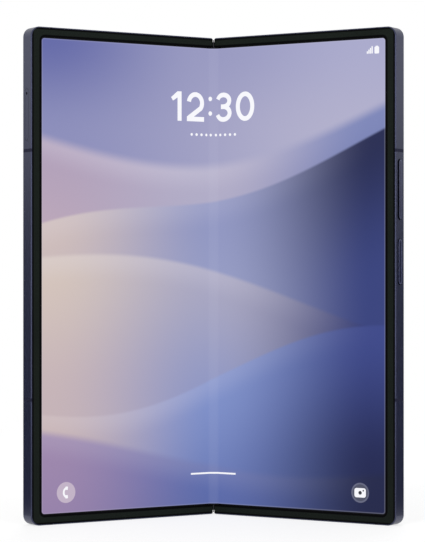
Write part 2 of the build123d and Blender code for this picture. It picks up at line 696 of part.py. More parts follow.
def camera_module(z):
    half = CAMERA_BODY / 2
    body = block(ISLAND_X - half, ISLAND_X + half, POCKET_FRONT, MODULE_TOP, z - half, z + half)
    return body + pin(ISLAND_X, z, BARREL_RADIUS, MODULE_TOP - PART_GAP, ISLAND_BACK)


def camera_modules():
    return Compound(children=[camera_module(z) for z in LENS_HEIGHTS])


def flash_lens():
    return pin(FLASH_X, FLASH_Z, FLASH_RADIUS, GLASS_FRONT - FLASH_DEPTH, THICKNESS)


def right_battery():
    return battery(BEAM_END + RIGHT_BATTERY_START, RIGHT_BATTERY_LOW, MAIN_BOARD_LOW - BATTERY_SWELL_GAP,
                   GLASS_FRONT - COIL_THICKNESS - PART_GAP)


def main_board():
    """The main board, cut out round the inner camera."""
    body = block(BOARD_INNER, MAIN_BOARD_OUTER, POCKET_FRONT, BOARD_BACK, MAIN_BOARD_LOW, BOARD_TOP)
    half = INNER_CAMERA_RADIUS + SMALL_CAMERA_MARGIN + PART_GAP
    return body - block(INNER_CAMERA_X - half, INNER_CAMERA_X + half, 0, THICKNESS,
                        INNER_CAMERA_Z - half, INNER_CAMERA_Z + half)


def board_shield():
    """Pressed metal can over the chips, open towards the board."""
    back = BOARD_BACK + SHIELD_HEIGHT
    wall = SHIELD_WALL
    can = block(SHIELD_INNER, SHIELD_OUTER, BOARD_BACK, back, SHIELD_LOW, SHIELD_HIGH)
    return can - block(SHIELD_INNER + wall, SHIELD_OUTER - wall, BOARD_BACK - wall, back - wall,
                       SHIELD_LOW + wall, SHIELD_HIGH - wall)


def vapor_chamber():
    """The flat heat spreader on top of the shield."""
    front = BOARD_BACK + SHIELD_HEIGHT
    outline = clipped(SHIELD_INNER - CHAMBER_MARGIN, SHIELD_OUTER + CHAMBER_MARGIN, SHIELD_LOW - CHAMBER_MARGIN,
                      SHIELD_HIGH + CHAMBER_MARGIN, 2 * CHAMBER_MARGIN)
    return plate(outline, front, front + CHAMBER_THICKNESS)


def port_room(front, back):
    """The room that the socket shell takes out of the frame and the board."""
    reach = PORT_WIDTH / 2 + FIT
    return block(PORT_X - reach, PORT_X + reach, front, back, SIDE_WALL, SIDE_WALL + PORT_LENGTH + PART_GAP)


def usb_c_port():
    """Socket shell with its centre tongue."""
    outline = Pos(PORT_X, PORT_DEPTH) * RectangleRounded(PORT_WIDTH, PORT_HEIGHT, PORT_HEIGHT / 2 - FIT)
    hollow = Pos(PORT_X, PORT_DEPTH) * SlotOverall(PORT_WIDTH - 2 * PORT_WALL, PORT_HEIGHT - 2 * PORT_WALL)
    back_wall = SIDE_WALL + PORT_LENGTH - PORT_BACK_WALL
    body = column(outline, SIDE_WALL, SIDE_WALL + PORT_LENGTH) - column(hollow, SIDE_WALL - PAST, back_wall)
    return body + block(PORT_X - TONGUE_WIDTH / 2, PORT_X + TONGUE_WIDTH / 2, PORT_DEPTH - TONGUE_THICKNESS / 2,
                        PORT_DEPTH + TONGUE_THICKNESS / 2, SIDE_WALL + TONGUE_RECESS, back_wall + PORT_WALL)


def bottom_board():
    """The board beside the socket."""
    body = block(BOARD_INNER, POCKET_OUTER - BOTTOM_BOARD_INSET, POCKET_FRONT, BOARD_BACK,
                 SIDE_WALL + BOARD_MARGIN, BOTTOM_BOARD_TOP)
    return body - port_room(0, THICKNESS)


def loudspeaker():
    """The speaker box behind the sound slots."""
    low = SIDE_WALL + PART_GAP
    return block(SLOT_CENTRES[0] - LOUDSPEAKER_MARGIN, SLOT_CENTRES[-1] + LOUDSPEAKER_MARGIN, BOARD_BACK,
                 GLASS_FRONT - 2 * PART_GAP, low, low + LOUDSPEAKER_LENGTH)


def vibration_motor():
    outer = PORT_X - PORT_WIDTH / 2 - MOTOR_PORT_GAP
    return block(outer - MOTOR_WIDTH, outer, BOARD_BACK, GLASS_FRONT - 2 * PART_GAP, MOTOR_LOW,
                 MOTOR_LOW + MOTOR_LENGTH)


def charging_coil():
    """Flat wireless-charging coil, bonded to the inside of the rear glass."""
    middle = (BEAM_END + RIGHT_BATTERY_START + BATTERY_OUTER) / 2
    ring = Circle(COIL_OUTER) - Circle(COIL_INNER)
    return plate(Pos(middle, COIL_HEIGHT) * ring, GLASS_FRONT - COIL_THICKNESS, GLASS_FRONT)


def inner_camera():
    return small_camera(INNER_CAMERA_X, INNER_CAMERA_Z, INNER_CAMERA_RADIUS, POCKET_FRONT,
                        POCKET_FRONT + INNER_CAMERA_LENGTH, SUPPORT_BACK)


def key_switch(z, length):
    """A switch strip that stands on the mid-plate behind a key, with a dome at each end."""
    outer = POCKET_OUTER - SWITCH_GAP
    half = DOME_WIDTH / 2
    body = block(outer - SWITCH_THICKNESS, outer, POCKET_FRONT, KEY_DEPTH + SWITCH_RISE,
                 z - length / 2, z + length / 2)
    for middle in (z - DOME_SHARE * length, z + DOME_SHARE * length):
        body += block(outer - SWITCH_THICKNESS, outer + DOME_HEIGHT, KEY_DEPTH - half, KEY_DEPTH + half,
                      middle - half, middle + half)
    return body


def key_switches():
    return Compound(children=[key_switch(VOLUME_Z, VOLUME_LENGTH), key_switch(POWER_Z, POWER_LENGTH)])


def key(length, width, z, proud):
    """A stadium key through the side wall with a softened rim."""
    body = side_slot(length, width, KEY_DEPTH, z, POCKET_OUTER, HALF_WIDTH + proud)
    return chamfer(body.edges().group_by(Axis.X)[-1], KEY_CHAMFER)


def volume_key():
    """A rocker that tips about a round rib on its back, which bears on the switch strip."""
    rib = pin(POCKET_OUTER, VOLUME_Z, SWITCH_GAP - FIT, KEY_DEPTH - PIVOT_LENGTH / 2, KEY_DEPTH + PIVOT_LENGTH / 2)
    return key(VOLUME_LENGTH, VOLUME_WIDTH, VOLUME_Z, VOLUME_PROUD) + rib


def side_key():
    return key(POWER_LENGTH, POWER_WIDTH, POWER_Z, POWER_PROUD)


# --- files ---
def bands_group():
    return Compound(children=antenna_bands())


def nodes():
    """Every sub-part in its resting place, by name."""
    bottom, top = COVER_BOTTOM, COVER_TOP
    shapes = {
        "spine_cover": spine_cover(),
        "hinge_brackets": hinge_brackets(),
        "hinge_end_cap_bottom": hinge_end_cap(bottom, bottom + CAP_LENGTH, FIN_END_INSET, bottom + FIN_LENGTH),
        "hinge_end_cap_top": hinge_end_cap(top - CAP_LENGTH, top, top - FIN_LENGTH, HEIGHT - FIN_END_INSET),
        "display_fold_strip": display_fold_strip(),
    }
    left = {
        "left_frame": left_frame(),
        "left_bezel": bezel(),
        "left_display_panel": display_panel(),
        "left_support_plate": support_plate(LEFT),
        "left_wing_plate": wing_plate(LEFT),
        "left_rotor_arms": rotor_arms(LEFT),
        "left_antenna_bands": bands_group(),
        "left_magnets": magnets(),
        "left_battery": left_battery(),
        "cover_glass": cover_glass(),
        "cover_display_panel": cover_display_panel(),
        "cover_camera": cover_camera(),
        "receiver_speaker": receiver_speaker(),
        "sub_board": sub_board(),
        "sim_reader": sim_reader(),
        "sim_tray": sim_tray(),
    }
    right = {
        "right_frame": right_frame(),
        "right_bezel": bezel(),
        "right_display_panel": display_panel(),
        "right_support_plate": support_plate(RIGHT),
        "right_wing_plate": wing_plate(RIGHT),
        "right_rotor_arms": rotor_arms(RIGHT),
        "right_antenna_bands": bands_group(),
        "right_magnets": magnets(),
        "right_battery": right_battery(),
        "rear_glass": rear_glass(),
        "camera_island": camera_island(),
        "camera_lens_rings": camera_lens_rings(),
        "camera_lens_windows": camera_lens_windows(),
        "camera_modules": camera_modules(),
        "flash_lens": flash_lens(),
        "main_board": main_board(),
        "board_shield": board_shield(),
        "vapor_chamber": vapor_chamber(),
        "usb_c_port": usb_c_port(),
        "bottom_board": bottom_board(),
        "loudspeaker": loudspeaker(),
        "vibration_motor": vibration_motor(),
        "charging_coil": charging_coil(),
        "inner_camera": inner_camera(),
        "key_switches": key_switches(),
        "volume_key": volume_key(),
        "side_key": side_key(),
    }
    for name, shape in left.items():
        shapes[name] = folded(shape, LEFT)
    for name, shape in right.items():
        shapes[name] = folded(shape, RIGHT)
    return shapes


os.makedirs("parts", exist_ok=True)
for name, shape in nodes().items():
    export_step(shape, f"parts/{name}.step")
print("origin shift", round(ORIGIN_SHIFT, 4))
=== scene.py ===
# %% [markdown] A book-style foldable phone stands half open, lit like a product shot. The solid parts come
# from the packed CAD model and stay where they are. This file gives them their finishes and adds what only
# shows: the lit picture that bends over the fold, the clock and signs, the lens elements, the fine gauze
# and the socket's contacts.

import json
import math

import bmesh
import bpy
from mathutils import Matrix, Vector


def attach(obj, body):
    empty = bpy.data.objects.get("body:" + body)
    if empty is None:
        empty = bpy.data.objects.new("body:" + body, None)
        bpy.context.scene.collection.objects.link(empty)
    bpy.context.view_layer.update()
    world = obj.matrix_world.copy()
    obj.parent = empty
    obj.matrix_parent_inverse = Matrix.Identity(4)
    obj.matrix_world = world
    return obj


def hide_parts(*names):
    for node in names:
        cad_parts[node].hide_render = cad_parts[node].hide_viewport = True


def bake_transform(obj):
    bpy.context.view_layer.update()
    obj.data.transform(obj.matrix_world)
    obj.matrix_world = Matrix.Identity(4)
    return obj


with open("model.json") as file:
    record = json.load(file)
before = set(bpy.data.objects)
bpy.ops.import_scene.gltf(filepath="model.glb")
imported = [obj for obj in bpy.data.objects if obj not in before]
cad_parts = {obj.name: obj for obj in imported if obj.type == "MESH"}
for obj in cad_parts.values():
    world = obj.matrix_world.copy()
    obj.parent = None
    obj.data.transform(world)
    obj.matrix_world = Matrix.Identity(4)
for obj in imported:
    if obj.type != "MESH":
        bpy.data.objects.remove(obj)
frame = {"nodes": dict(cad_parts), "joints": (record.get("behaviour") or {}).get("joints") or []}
nodes = frame["nodes"]
joints = {joint["name"]: joint for joint in frame["joints"]}
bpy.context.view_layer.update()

# %% [markdown]
# The phone's halves turn about two parallel axes, one on each side of the fold, and stand half open at
# rest. Things on the screen and on the halves are easiest to lay out on the flat, open phone: a distance
# from the fold, a depth behind the rim and a height. They could be drawn at rest instead, but then every
# place would need its own sum of sines. This cell turns the CAD pieces back flat, so that their places can
# be read there. On either half that is one turn about the half's own axis.

# %% Resting phone to flat phone
MM = 0.001
REST_FOLD = math.radians(-joints["left_fold"]["range_deg"][0])
COS, SIN = math.cos(REST_FOLD), math.sin(REST_FOLD)
AXIS_X = abs(joints["right_fold"]["pos_m"][0])
AXIS_Y = joints["right_fold"]["pos_m"][1]


def from_axis(point):
    """How far across and behind its fold axis a resting point lies once its half is turned back flat."""
    dx, dy = abs(point.x) - AXIS_X, point.y - AXIS_Y
    return dx * COS - dy * SIN, dx * SIN + dy * COS


def turned_back(name):
    """Every corner point of a CAD piece as (across, behind, height)."""
    piece = nodes[name]
    places = [piece.matrix_world @ vertex.co for vertex in piece.data.vertices]
    return [(*from_axis(place), place.z) for place in places]


AXIS_DEPTH = -min(behind for across, behind, height in turned_back("right_bezel"))
RIM_Y = AXIS_Y - AXIS_DEPTH


def flat_box(name):
    """The box of a CAD piece of either half on the flat phone: distance from the fold, depth, height."""
    columns = list(zip(*turned_back(name)))
    shift = (AXIS_X, AXIS_DEPTH, 0)
    return (Vector([min(column) + s for column, s in zip(columns, shift)]),
            Vector([max(column) + s for column, s in zip(columns, shift)]))


HALF_WIDTH = flat_box("right_frame")[1].x
HEIGHT = flat_box("right_frame")[1].z
PANEL_LOW, PANEL_HIGH = flat_box("right_display_panel")
STRIP_END = PANEL_LOW.x
SCREEN_DEPTH = PANEL_LOW.y
print("axis depth", AXIS_DEPTH, "half width", HALF_WIDTH, "panel", PANEL_LOW, PANEL_HIGH)

# %% [markdown] The way back starts from a flat point. On a stiff panel it is the same turn the other way.
# On the bending strip between the panels the turn grows smoothly, from none at the fold's middle to the
# full angle at the panel's edge. That share depends on its own result, so it is found in rounds: each
# round turns the point by the last share and measures it.

# %% Flat phone to resting phone
SHARE_ROUNDS, HAIR = 30, 1e-7


def ease(t):
    t = min(max(t, 0.0), 1.0)
    return t * t * (3 - 2 * t)


def turned(x, depth, share):
    """A flat point of the right half, turned by a share of the resting angle about the right fold axis."""
    angle = REST_FOLD * share
    dx, dy = x - AXIS_X, depth - AXIS_DEPTH
    return (AXIS_X + dx * math.cos(angle) + dy * math.sin(angle),
            AXIS_Y - dx * math.sin(angle) + dy * math.cos(angle))


STRIP_START_POINT = Vector((0, RIM_Y + SCREEN_DEPTH, 0))
STRIP_END_POINT = Vector((*turned(STRIP_END, SCREEN_DEPTH, 1), 0))


def blend_share(x, y):
    """How far a resting point lies along the strip, eased."""
    run = STRIP_END_POINT - STRIP_START_POINT
    offset = Vector((x, y, 0)) - STRIP_START_POINT
    return ease(offset.dot(run) / run.length_squared)


def resting(x, depth, z):
    """The resting place of a point of the flat phone, x outward from the fold (negative on the left)."""
    side = -1 if x < 0 else 1
    x = abs(x)
    if x >= STRIP_END - HAIR:
        share = 1
    else:
        share = ease(x / STRIP_END)
        for _ in range(SHARE_ROUNDS):
            share = blend_share(*turned(x, depth, share))
    px, py = turned(x, depth, share)
    return Vector((side * px, py, z))


print("strip end", STRIP_END_POINT, "middle", resting(0, SCREEN_DEPTH, 0))

# %% [markdown]
# Every finish of the phone is a tree of shader nodes. Such a tree could be wired link by link, but its
# maths reads best as ordinary expressions. This class wraps one socket of a tree and overloads the
# operators, so that a line such as 1 - mask adds the Math node it needs. The reflected forms, with an r in
# their names, are for a plain number on the left of the sign. The soft step draws nearly every mask, fade
# and edge below.

# %% A socket that can be used in sums


class Value:
    """A socket of a node tree that can be used in sums."""

    def __init__(self, shader, socket):
        self.shader = shader
        self.socket = socket

    def maths(self, operation, *others):
        return self.shader.add("ShaderNodeMath", {"operation": operation}, [self, *others])

    def __add__(self, other):
        return self.maths("ADD", other)

    def __sub__(self, other):
        return self.maths("SUBTRACT", other)

    def __mul__(self, other):
        return self.maths("MULTIPLY", other)

    def __truediv__(self, other):
        return self.maths("DIVIDE", other)

    def __abs__(self):
        return self.maths("ABSOLUTE")

    def __radd__(self, other):
        return self + other

    def __rmul__(self, other):
        return self * other

    def __rsub__(self, other):
        return self.shader.add("ShaderNodeMath", {"operation": "SUBTRACT"}, [other, self])

    def sin(self):
        return self.maths("SINE")

    def least(self, other):
        return self.maths("MINIMUM", other)

    def most(self, other):
        return self.maths("MAXIMUM", other)

    def reach(self, other):
        """The length of a line with this run and that rise."""
        return (self * self + other * other).maths("SQRT")

    def smooth(self, low, high):
        """0 below low, 1 above high and a soft step between."""
        return self.shader.add("ShaderNodeMapRange", {"interpolation_type": "SMOOTHSTEP"}, [self, low, high])


print("values can", [name.strip("_") for name in vars(Value) if callable(getattr(Value, name))])

# %% [markdown]
# A finish is one material, and this class holds its tree. What is the same all over the surface is set on
# the shader node's own sockets, and what changes over it is fed in. Any node comes from add(): its type,
# its settings, and the values or links of its sockets. The few that every finish needs have a short name:
# Object coordinates, noise, a mix of two colours and a bump. The flat_place() is the turn from the first
# cells once more, as nodes, so that a pattern can be laid out on the flat phone too.

# %% A material's tree


class Shader:
    """A material's node tree, built from expressions."""

    def __init__(self, name, **settings):
        self.material = bpy.data.materials.new(name)
        self.material.use_nodes = True
        self.tree = self.material.node_tree
        self.surface = self.tree.nodes["Principled BSDF"]
        for label, value in settings.items():
            self.surface.inputs[label.replace("_", " ")].default_value = value

    def add(self, kind, settings, inputs, output=0):
        """One node: its settings first, then its sockets by place or by name."""
        node = self.tree.nodes.new(kind)
        for label, value in settings.items():
            setattr(node, label, value)
        pairs = inputs.items() if isinstance(inputs, dict) else enumerate(inputs)
        for key, value in pairs:
            if isinstance(value, Value):
                self.tree.links.new(value.socket, node.inputs[key])
            else:
                node.inputs[key].default_value = value
        return Value(self, node.outputs[output])

    def here(self):
        """Object coordinates in metres."""
        return self.add("ShaderNodeTexCoord", {}, {}, "Object")

    def parts(self, vector):
        """The three numbers of a vector."""
        first = self.add("ShaderNodeSeparateXYZ", {}, [vector])
        node = first.socket.node
        return [Value(self, node.outputs[i]) for i in range(3)]

    def noise(self, scale, detail=2.0, stretch=(1, 1, 1)):
        place = self.add("ShaderNodeMapping", {}, {"Vector": self.here(), "Scale": stretch})
        return self.add("ShaderNodeTexNoise", {}, {"Vector": place, "Scale": scale, "Detail": detail})

    def flat_place(self):
        """Distance from the fold, depth behind the rim and height on the flat phone, for either half."""
        x, y, z = self.parts(self.here())
        dx, dy = abs(x) - AXIS_X, y - AXIS_Y
        return dx * COS - dy * SIN + AXIS_X, dx * SIN + dy * COS + AXIS_DEPTH, z

    def mix(self, factor, low, high):
        """A colour between two colours."""
        sockets = {0: factor, 6: low, 7: high}
        return self.add("ShaderNodeMix", {"data_type": "RGBA"}, sockets, 2)

    def feed(self, label, value):
        self.tree.links.new(value.socket, self.surface.inputs[label])

    def bump(self, height, distance, strength=1.0):
        sockets = {"Height": height, "Distance": distance, "Strength": strength}
        self.feed("Normal", self.add("ShaderNodeBump", {}, sockets))


print("shaders can", [name for name in vars(Shader) if not name.startswith("_")])

# %% [markdown]
# A colour is easiest to write down as a web code, the six digits that any colour picker shows. Those say
# how bright a screen looks, while a renderer adds up light, so they have to be made linear first. Blender's
# colour field does that when a code is typed in, and here a function does it.

# %% Colours


def colour(code):
    """A linear colour from a web code."""
    parts = [int(code[i:i + 2], 16) / 255 for i in (0, 2, 4)]
    return tuple(c / 12.92 if c <= 0.04045 else ((c + 0.055) / 1.055) ** 2.4 for c in parts) + (1,)


def shade(tone, share):
    """A tone made darker or lighter."""
    return tuple(min(1.0, share * c) for c in tone[:3]) + (1,)


print("web grey 808080 is linear", colour("808080"))

# %% [markdown]
# The frames and the spine are aluminium, blasted with fine beads and dyed navy. Up close that is a tight,
# even grain; from a step away it is a soft satin. A picture of such metal could be wrapped round the
# pieces, but each would need a UV map, and the picture would blur up close. Noise on Object coordinates
# needs no map: a fine one drives a very small bump and a little roughness, and a slow one keeps the dye
# from looking like one flat colour.

# %% Dyed metals
BLAST_CELLS, DYE_CELLS = 9000, 60
BLAST_DEPTH = 0.004 * MM


def blasted(shader, dye, roughness):
    """Feeds the grain of a blasted surface and returns its dye."""
    fine = shader.noise(BLAST_CELLS, 3)
    shader.feed("Roughness", roughness - 0.05 + 0.1 * fine)
    shader.bump(fine, BLAST_DEPTH, 0.5)
    return shader.mix(shader.noise(DYE_CELLS, 2), shade(dye, 0.86), dye)


def satin_metal(name, dye, roughness):
    shader = Shader(name, Metallic=1.0)
    shader.feed("Base Color", blasted(shader, dye, roughness))
    return shader.material


rim_metal = satin_metal("rim_metal", colour("44475d"), 0.34)
spine_metal = satin_metal("spine_metal", colour("3c3f52"), 0.34)
island_metal = satin_metal("island_metal", colour("3a3d50"), 0.36)
ring_metal = satin_metal("ring_metal", colour("5a5e72"), 0.22)
print("dyed metals made, grain", BLAST_DEPTH)

# %% [markdown]
# The hinge, the plates behind the screen and the cans over the boards are bare steel. Rolling and machining
# leave fine lines in one direction. An image of scratches could give them, but the same noise does too,
# once its coordinates are squeezed across the lines and stretched along them, here along the height of the
# phone.

# %% Brushed metals
LINE_CELLS, LINE_STRETCH = 900, (8, 8, 0.2)
LINE_DEPTH = 0.003 * MM


def brushed_metal(name, tone, roughness=0.3):
    shader = Shader(name, Metallic=1.0)
    lines = shader.noise(LINE_CELLS, 3, LINE_STRETCH)
    shader.feed("Base Color", shader.mix(lines, shade(tone, 0.8), tone))
    shader.feed("Roughness", roughness + 0.12 * lines)
    shader.bump(lines, LINE_DEPTH, 0.4)
    return shader.material


hinge_steel = brushed_metal("hinge_steel", colour("9a9aa0"))
plate_steel = brushed_metal("plate_steel", colour("8a8b90"), 0.36)
can_steel = brushed_metal("can_steel", colour("a8a8a6"), 0.34)
magnet_metal = brushed_metal("magnet_metal", colour("b4b4b8"), 0.2)
contact_gold = brushed_metal("contact_gold", colour("d0a860"), 0.24)
gauze_steel = brushed_metal("gauze_steel", colour("50525c"), 0.4)
print("brushed metals made, lines", LINE_DEPTH)

# %% [markdown]
# The antenna breaks are plastic, nearly the metal's navy but matt, which is why they show at all. The caps
# of the hinge and the modules inside are moulded in black. The back's glass is etched with acid to a satin
# navy, so it scatters light as a smooth plastic does. Real glass could be made with transmission, but the
# colour lies right behind it, and an opaque surface with the glass's shine looks the same and renders much
# faster.

# %% Plastics and etched glass
MOULD_CELLS, PIGMENT_CELLS = 5000, 90
MOULD_DEPTH, ETCH_DEPTH = 0.006 * MM, 0.003 * MM


def moulded(shader, dark, light, roughness, depth):
    """Feeds the grain of a moulded surface and returns its colour between two tones."""
    fine = shader.noise(MOULD_CELLS, 2)
    shader.feed("Roughness", roughness - 0.06 + 0.12 * fine)
    shader.bump(fine, depth, 0.4)
    return shader.mix(shader.noise(PIGMENT_CELLS, 2), dark, light)


def plastic(name, tone, roughness, depth=MOULD_DEPTH, specular=0.4):
    shader = Shader(name, Specular_IOR_Level=specular)
    shader.feed("Base Color", moulded(shader, tone, shade(tone, 1.25), roughness, depth))
    return shader.material


band_plastic = plastic("band_plastic", colour("17182a"), 0.6, specular=0.1)
black_plastic = plastic("black_plastic", colour("17181b"), 0.45)
cap_plastic = plastic("cap_plastic", colour("141519"), 0.4, specular=0.2)
etched_glass = plastic("etched_glass", colour("2b3048"), 0.42, ETCH_DEPTH, 0.5)
outer_panel = plastic("outer_panel", colour("050608"), 0.3)
print("plastics and etched glass made, grain", MOULD_DEPTH, ETCH_DEPTH)

# %% [markdown]
# The screen's rim is a soft near-black moulding with a faint green cast. Its two long edges are in shadow:
# the outer one lies in a seam beside the metal and the inner one meets the sunken screen. Both gaps are so
# narrow that lamps and shadows alone would hardly draw them. The shader finds both edges on the flat phone
# instead and paints that shadow into the colour, as a thin dark line along each. How far a point lies
# outside a round-cornered box is a sum that the outer screen and the lit picture need too, so it has a
# helper of its own.

# %% The screen's rim
DISPLAY_TUCK = 0.8 * MM
WINDOW_OUTER = PANEL_HIGH.x - DISPLAY_TUCK
WINDOW_LOW = PANEL_LOW.z + DISPLAY_TUCK
WINDOW_HIGH = PANEL_HIGH.z - DISPLAY_TUCK
WINDOW_CORNER, CORNER_LOSS = 1.3 * MM, 0.4 * MM
SEAM_SHADOW, WINDOW_SHADOW = (0.35 * MM, 0.65 * MM), (0.45 * MM, 0.75 * MM)


def outside_box(across, up, low, high, corner):
    """Distance outside a round-cornered box between two corners (x, z), less than 0 inside it."""
    beyond = [(abs(place - (start + end) / 2) - ((end - start) / 2 - corner)).most(0.0)
              for place, start, end in zip((across, up), low, high)]
    return beyond[0].reach(beyond[1]) - corner


def outside_window(across, up, shrink):
    """Distance outside the inner screen's window, which has its middle on the fold."""
    low = (shrink - WINDOW_OUTER, WINDOW_LOW + shrink)
    high = (WINDOW_OUTER - shrink, WINDOW_HIGH - shrink)
    return outside_box(across, up, low, high, WINDOW_CORNER - min(shrink, CORNER_LOSS))


def screen_rim():
    shader = Shader("rim_plastic", Specular_IOR_Level=0.04)
    low, high = flat_box("right_bezel")
    across, depth, up = shader.flat_place()
    to_edge = (high.x - across).least(up - low.z).least(high.z - up)
    to_window = outside_window(across, up, 0)
    # painted shadow: 0 along the seam and the window's edge, where the colour turns near-black, and 1 on the
    # open face
    bright = to_edge.smooth(*SEAM_SHADOW) * to_window.smooth(*WINDOW_SHADOW)
    face = moulded(shader, colour("101412"), colour("151a16"), 0.56, MOULD_DEPTH)
    shader.feed("Base Color", shader.mix(bright, colour("010102"), face))
    return shader.material


rim_plastic = screen_rim()
print("window", WINDOW_OUTER, WINDOW_LOW, WINDOW_HIGH)

# %% [markdown]
# The outer screen is switched off, so its glass looks black all over. Two things still show behind it: the
# display itself is a shade lighter than the border printed round it, and a small camera looks out through a
# hole near the top. The glass could be made clear with those pieces behind it, but clear glass over black
# is slow and noisy to render. So they are coloured into one polished black surface, at the places that the
# solids behind it give.

# %% The outer screen
OUTER_MARGIN, OUTER_CORNER = 1.2 * MM, 3.0 * MM
EYE_HOLE, EYE_LENS, EYE_SOFT = 1.7 * MM, 0.9 * MM, 0.1 * MM


def outer_screen():
    shader = Shader("outer_glass", Specular_IOR_Level=0.5)
    across, depth, up = shader.flat_place()
    low, high = flat_box("cover_display_panel")
    beyond = outside_box(across, up, (low.x + OUTER_MARGIN, low.z + OUTER_MARGIN),
                         (high.x - OUTER_MARGIN, high.z - OUTER_MARGIN), OUTER_CORNER)
    sheet = shader.mix(beyond.smooth(-EYE_SOFT, EYE_SOFT), colour("0c0d13"), colour("040406"))
    eye = sum(flat_box("cover_camera"), Vector()) / 2
    from_eye = (across - eye.x).reach(up - eye.z)
    hole = shader.mix(from_eye.smooth(EYE_HOLE, EYE_HOLE + EYE_SOFT), colour("020203"), sheet)
    lens = shader.mix(from_eye.smooth(0.2 * EYE_LENS, EYE_LENS), colour("1c2c58"), colour("090a14"))
    shader.feed("Base Color", shader.mix(from_eye.smooth(EYE_LENS, EYE_LENS + EYE_SOFT), lens, hole))
    shader.feed("Roughness", 0.05 + 0.05 * shader.noise(MOULD_CELLS, 2))
    return shader.material


outer_glass = outer_screen()
print("outer screen", flat_box("cover_display_panel"), "its camera", flat_box("cover_camera"))

# %% [markdown]
# The keys are cut from the same dyed metal. Their rounded shoulders dip into the gap round them, where shade
# falls, and that shade is painted dark into their colour. Just inside, a bright line is painted as the
# highlight that the edge mirrors. Such a line is a third of a millimetre wide. It could be cut in the mesh,
# but then it would flicker from far away. The shader measures instead how far a point lies inside the key's
# stadium outline. The side key's face is also its fingerprint reader: it is smoother and its painted
# highlight stands out more.

# %% The keys
SHOULDER, HIGHLIGHT_WIDTH, PAINTED_MARK_SOFTNESS = 0.2 * MM, 0.3 * MM, 0.08 * MM


def key_finish(node, dye, highlight_tone, roughness):
    """Dyed metal with painted shade on the shoulders and a painted highlight line just inside them."""
    shader = Shader(f"{node}_metal", Metallic=1.0)
    low, high = flat_box(node)
    across, depth, up = shader.flat_place()
    radius = (high.y - low.y) / 2
    beyond_end = (abs(up - (low.z + high.z) / 2) - ((high.z - low.z) / 2 - radius)).most(0.0)
    inside = radius - (depth - (low.y + high.y) / 2).reach(beyond_end)
    highlight_end = SHOULDER + HIGHLIGHT_WIDTH
    # painted highlight: a lighter line just inside the shoulders
    line = inside.smooth(SHOULDER, SHOULDER + PAINTED_MARK_SOFTNESS) * (1 - inside.smooth(highlight_end, highlight_end + PAINTED_MARK_SOFTNESS))
    face = shader.mix(line, blasted(shader, dye, roughness), highlight_tone)
    # painted shade: the shoulders, down in the gap round the key, turn near-black
    outside_shoulder_shade = inside.smooth(SHOULDER - PAINTED_MARK_SOFTNESS, SHOULDER)
    shader.feed("Base Color", shader.mix(outside_shoulder_shade, colour("0e0f1c"), face))
    return shader.material


volume_metal = key_finish("volume_key", colour("484a62"), colour("70748e"), 0.32)
side_key_metal = key_finish("side_key", colour("40425f"), colour("b0b2c8"), 0.24)
print("key outlines", flat_box("volume_key"), flat_box("side_key"))

# %% [markdown]
# The flash is a flat moulded lens: rings in its face spread the light of the yellow chip behind. The rings
# could be turned in the mesh, but they are less than a tenth of a millimetre high, so a bump does: a sine
# of the distance from the lens's middle. The chip's colour glows through in the middle and fades outwards.

# %% The flash
FLASH_LOW, FLASH_HIGH = flat_box("flash_lens")
FLASH_RINGS, FLASH_RING_HEIGHT = 5, 0.06 * MM


def ringed_lens():
    shader = Shader("flash_cover", Roughness=0.2, Specular_IOR_Level=0.5, Coat_Weight=0.5)
    across, depth, up = shader.flat_place()
    middle = (FLASH_LOW + FLASH_HIGH) / 2
    radius = (FLASH_HIGH.z - FLASH_LOW.z) / 2
    share = (across - middle.x).reach(up - middle.z) / radius
    wave = (share * (2 * math.pi * FLASH_RINGS)).sin()
    yellow = shader.mix(share.smooth(0.15, 0.75), colour("e6c65a"), colour("e4e0d0"))
    shader.feed("Base Color", yellow)
    shader.bump(wave, FLASH_RING_HEIGHT, 0.8)
    return shader.material


flash_cover = ringed_lens()
print("flash", FLASH_LOW, FLASH_HIGH)

# %% [markdown]
# The pieces under the glass only show when the part is taken apart, but each has a look of its own there.
# Two are copper. The charging coil is wire wound in flat rings, and the heat spreader is pressed into a
# grid of dimples. Both could be modelled, turn by turn, but inside a shut phone that is a waste of
# triangles. A sine of the distance from the coil's middle draws its wires as a bump, and the same sine
# paints shade into the copper, darker in the grooves between the turns. The product of two sines draws the
# dimples.

# %% Coil and heat spreader
COIL_WIRE, WIRE_HEIGHT = 0.45 * MM, 0.03 * MM
DIMPLE_PITCH, DIMPLE_DEPTH = 2.4 * MM, 0.06 * MM
TARNISH_CELLS = 3000


def wound_copper():
    shader = Shader("wound_copper", Metallic=1.0)
    across, depth, up = shader.flat_place()
    middle = sum(flat_box("charging_coil"), Vector()) / 2
    turns = ((across - middle.x).reach(up - middle.z) * (2 * math.pi / COIL_WIRE)).sin()
    # painted shade: the copper turns darker towards the grooves between the wires
    shader.feed("Base Color", shader.mix(turns.smooth(-1.0, 0.2), colour("6a3a22"), colour("c47c4e")))
    shader.feed("Roughness", 0.3 + 0.1 * shader.noise(TARNISH_CELLS, 2))
    shader.bump(turns, WIRE_HEIGHT)
    return shader.material


def dimpled_copper():
    shader = Shader("dimpled_copper", Metallic=1.0)
    across, depth, up = shader.flat_place()
    dimples = [(place * (2 * math.pi / DIMPLE_PITCH)).sin() for place in (across, up)]
    hollow = (dimples[0] * dimples[1]).smooth(0.4, 0.9)
    shader.feed("Base Color", shader.mix(shader.noise(200, 3), colour("a8683f"), colour("bd7a50")))
    shader.feed("Roughness", 0.32 + 0.1 * shader.noise(TARNISH_CELLS, 2))
    shader.bump(1 - hollow, DIMPLE_DEPTH)
    return shader.material


coil_copper, spreader_copper = wound_copper(), dimpled_copper()
print("coil wire", COIL_WIRE, "dimples", DIMPLE_PITCH)

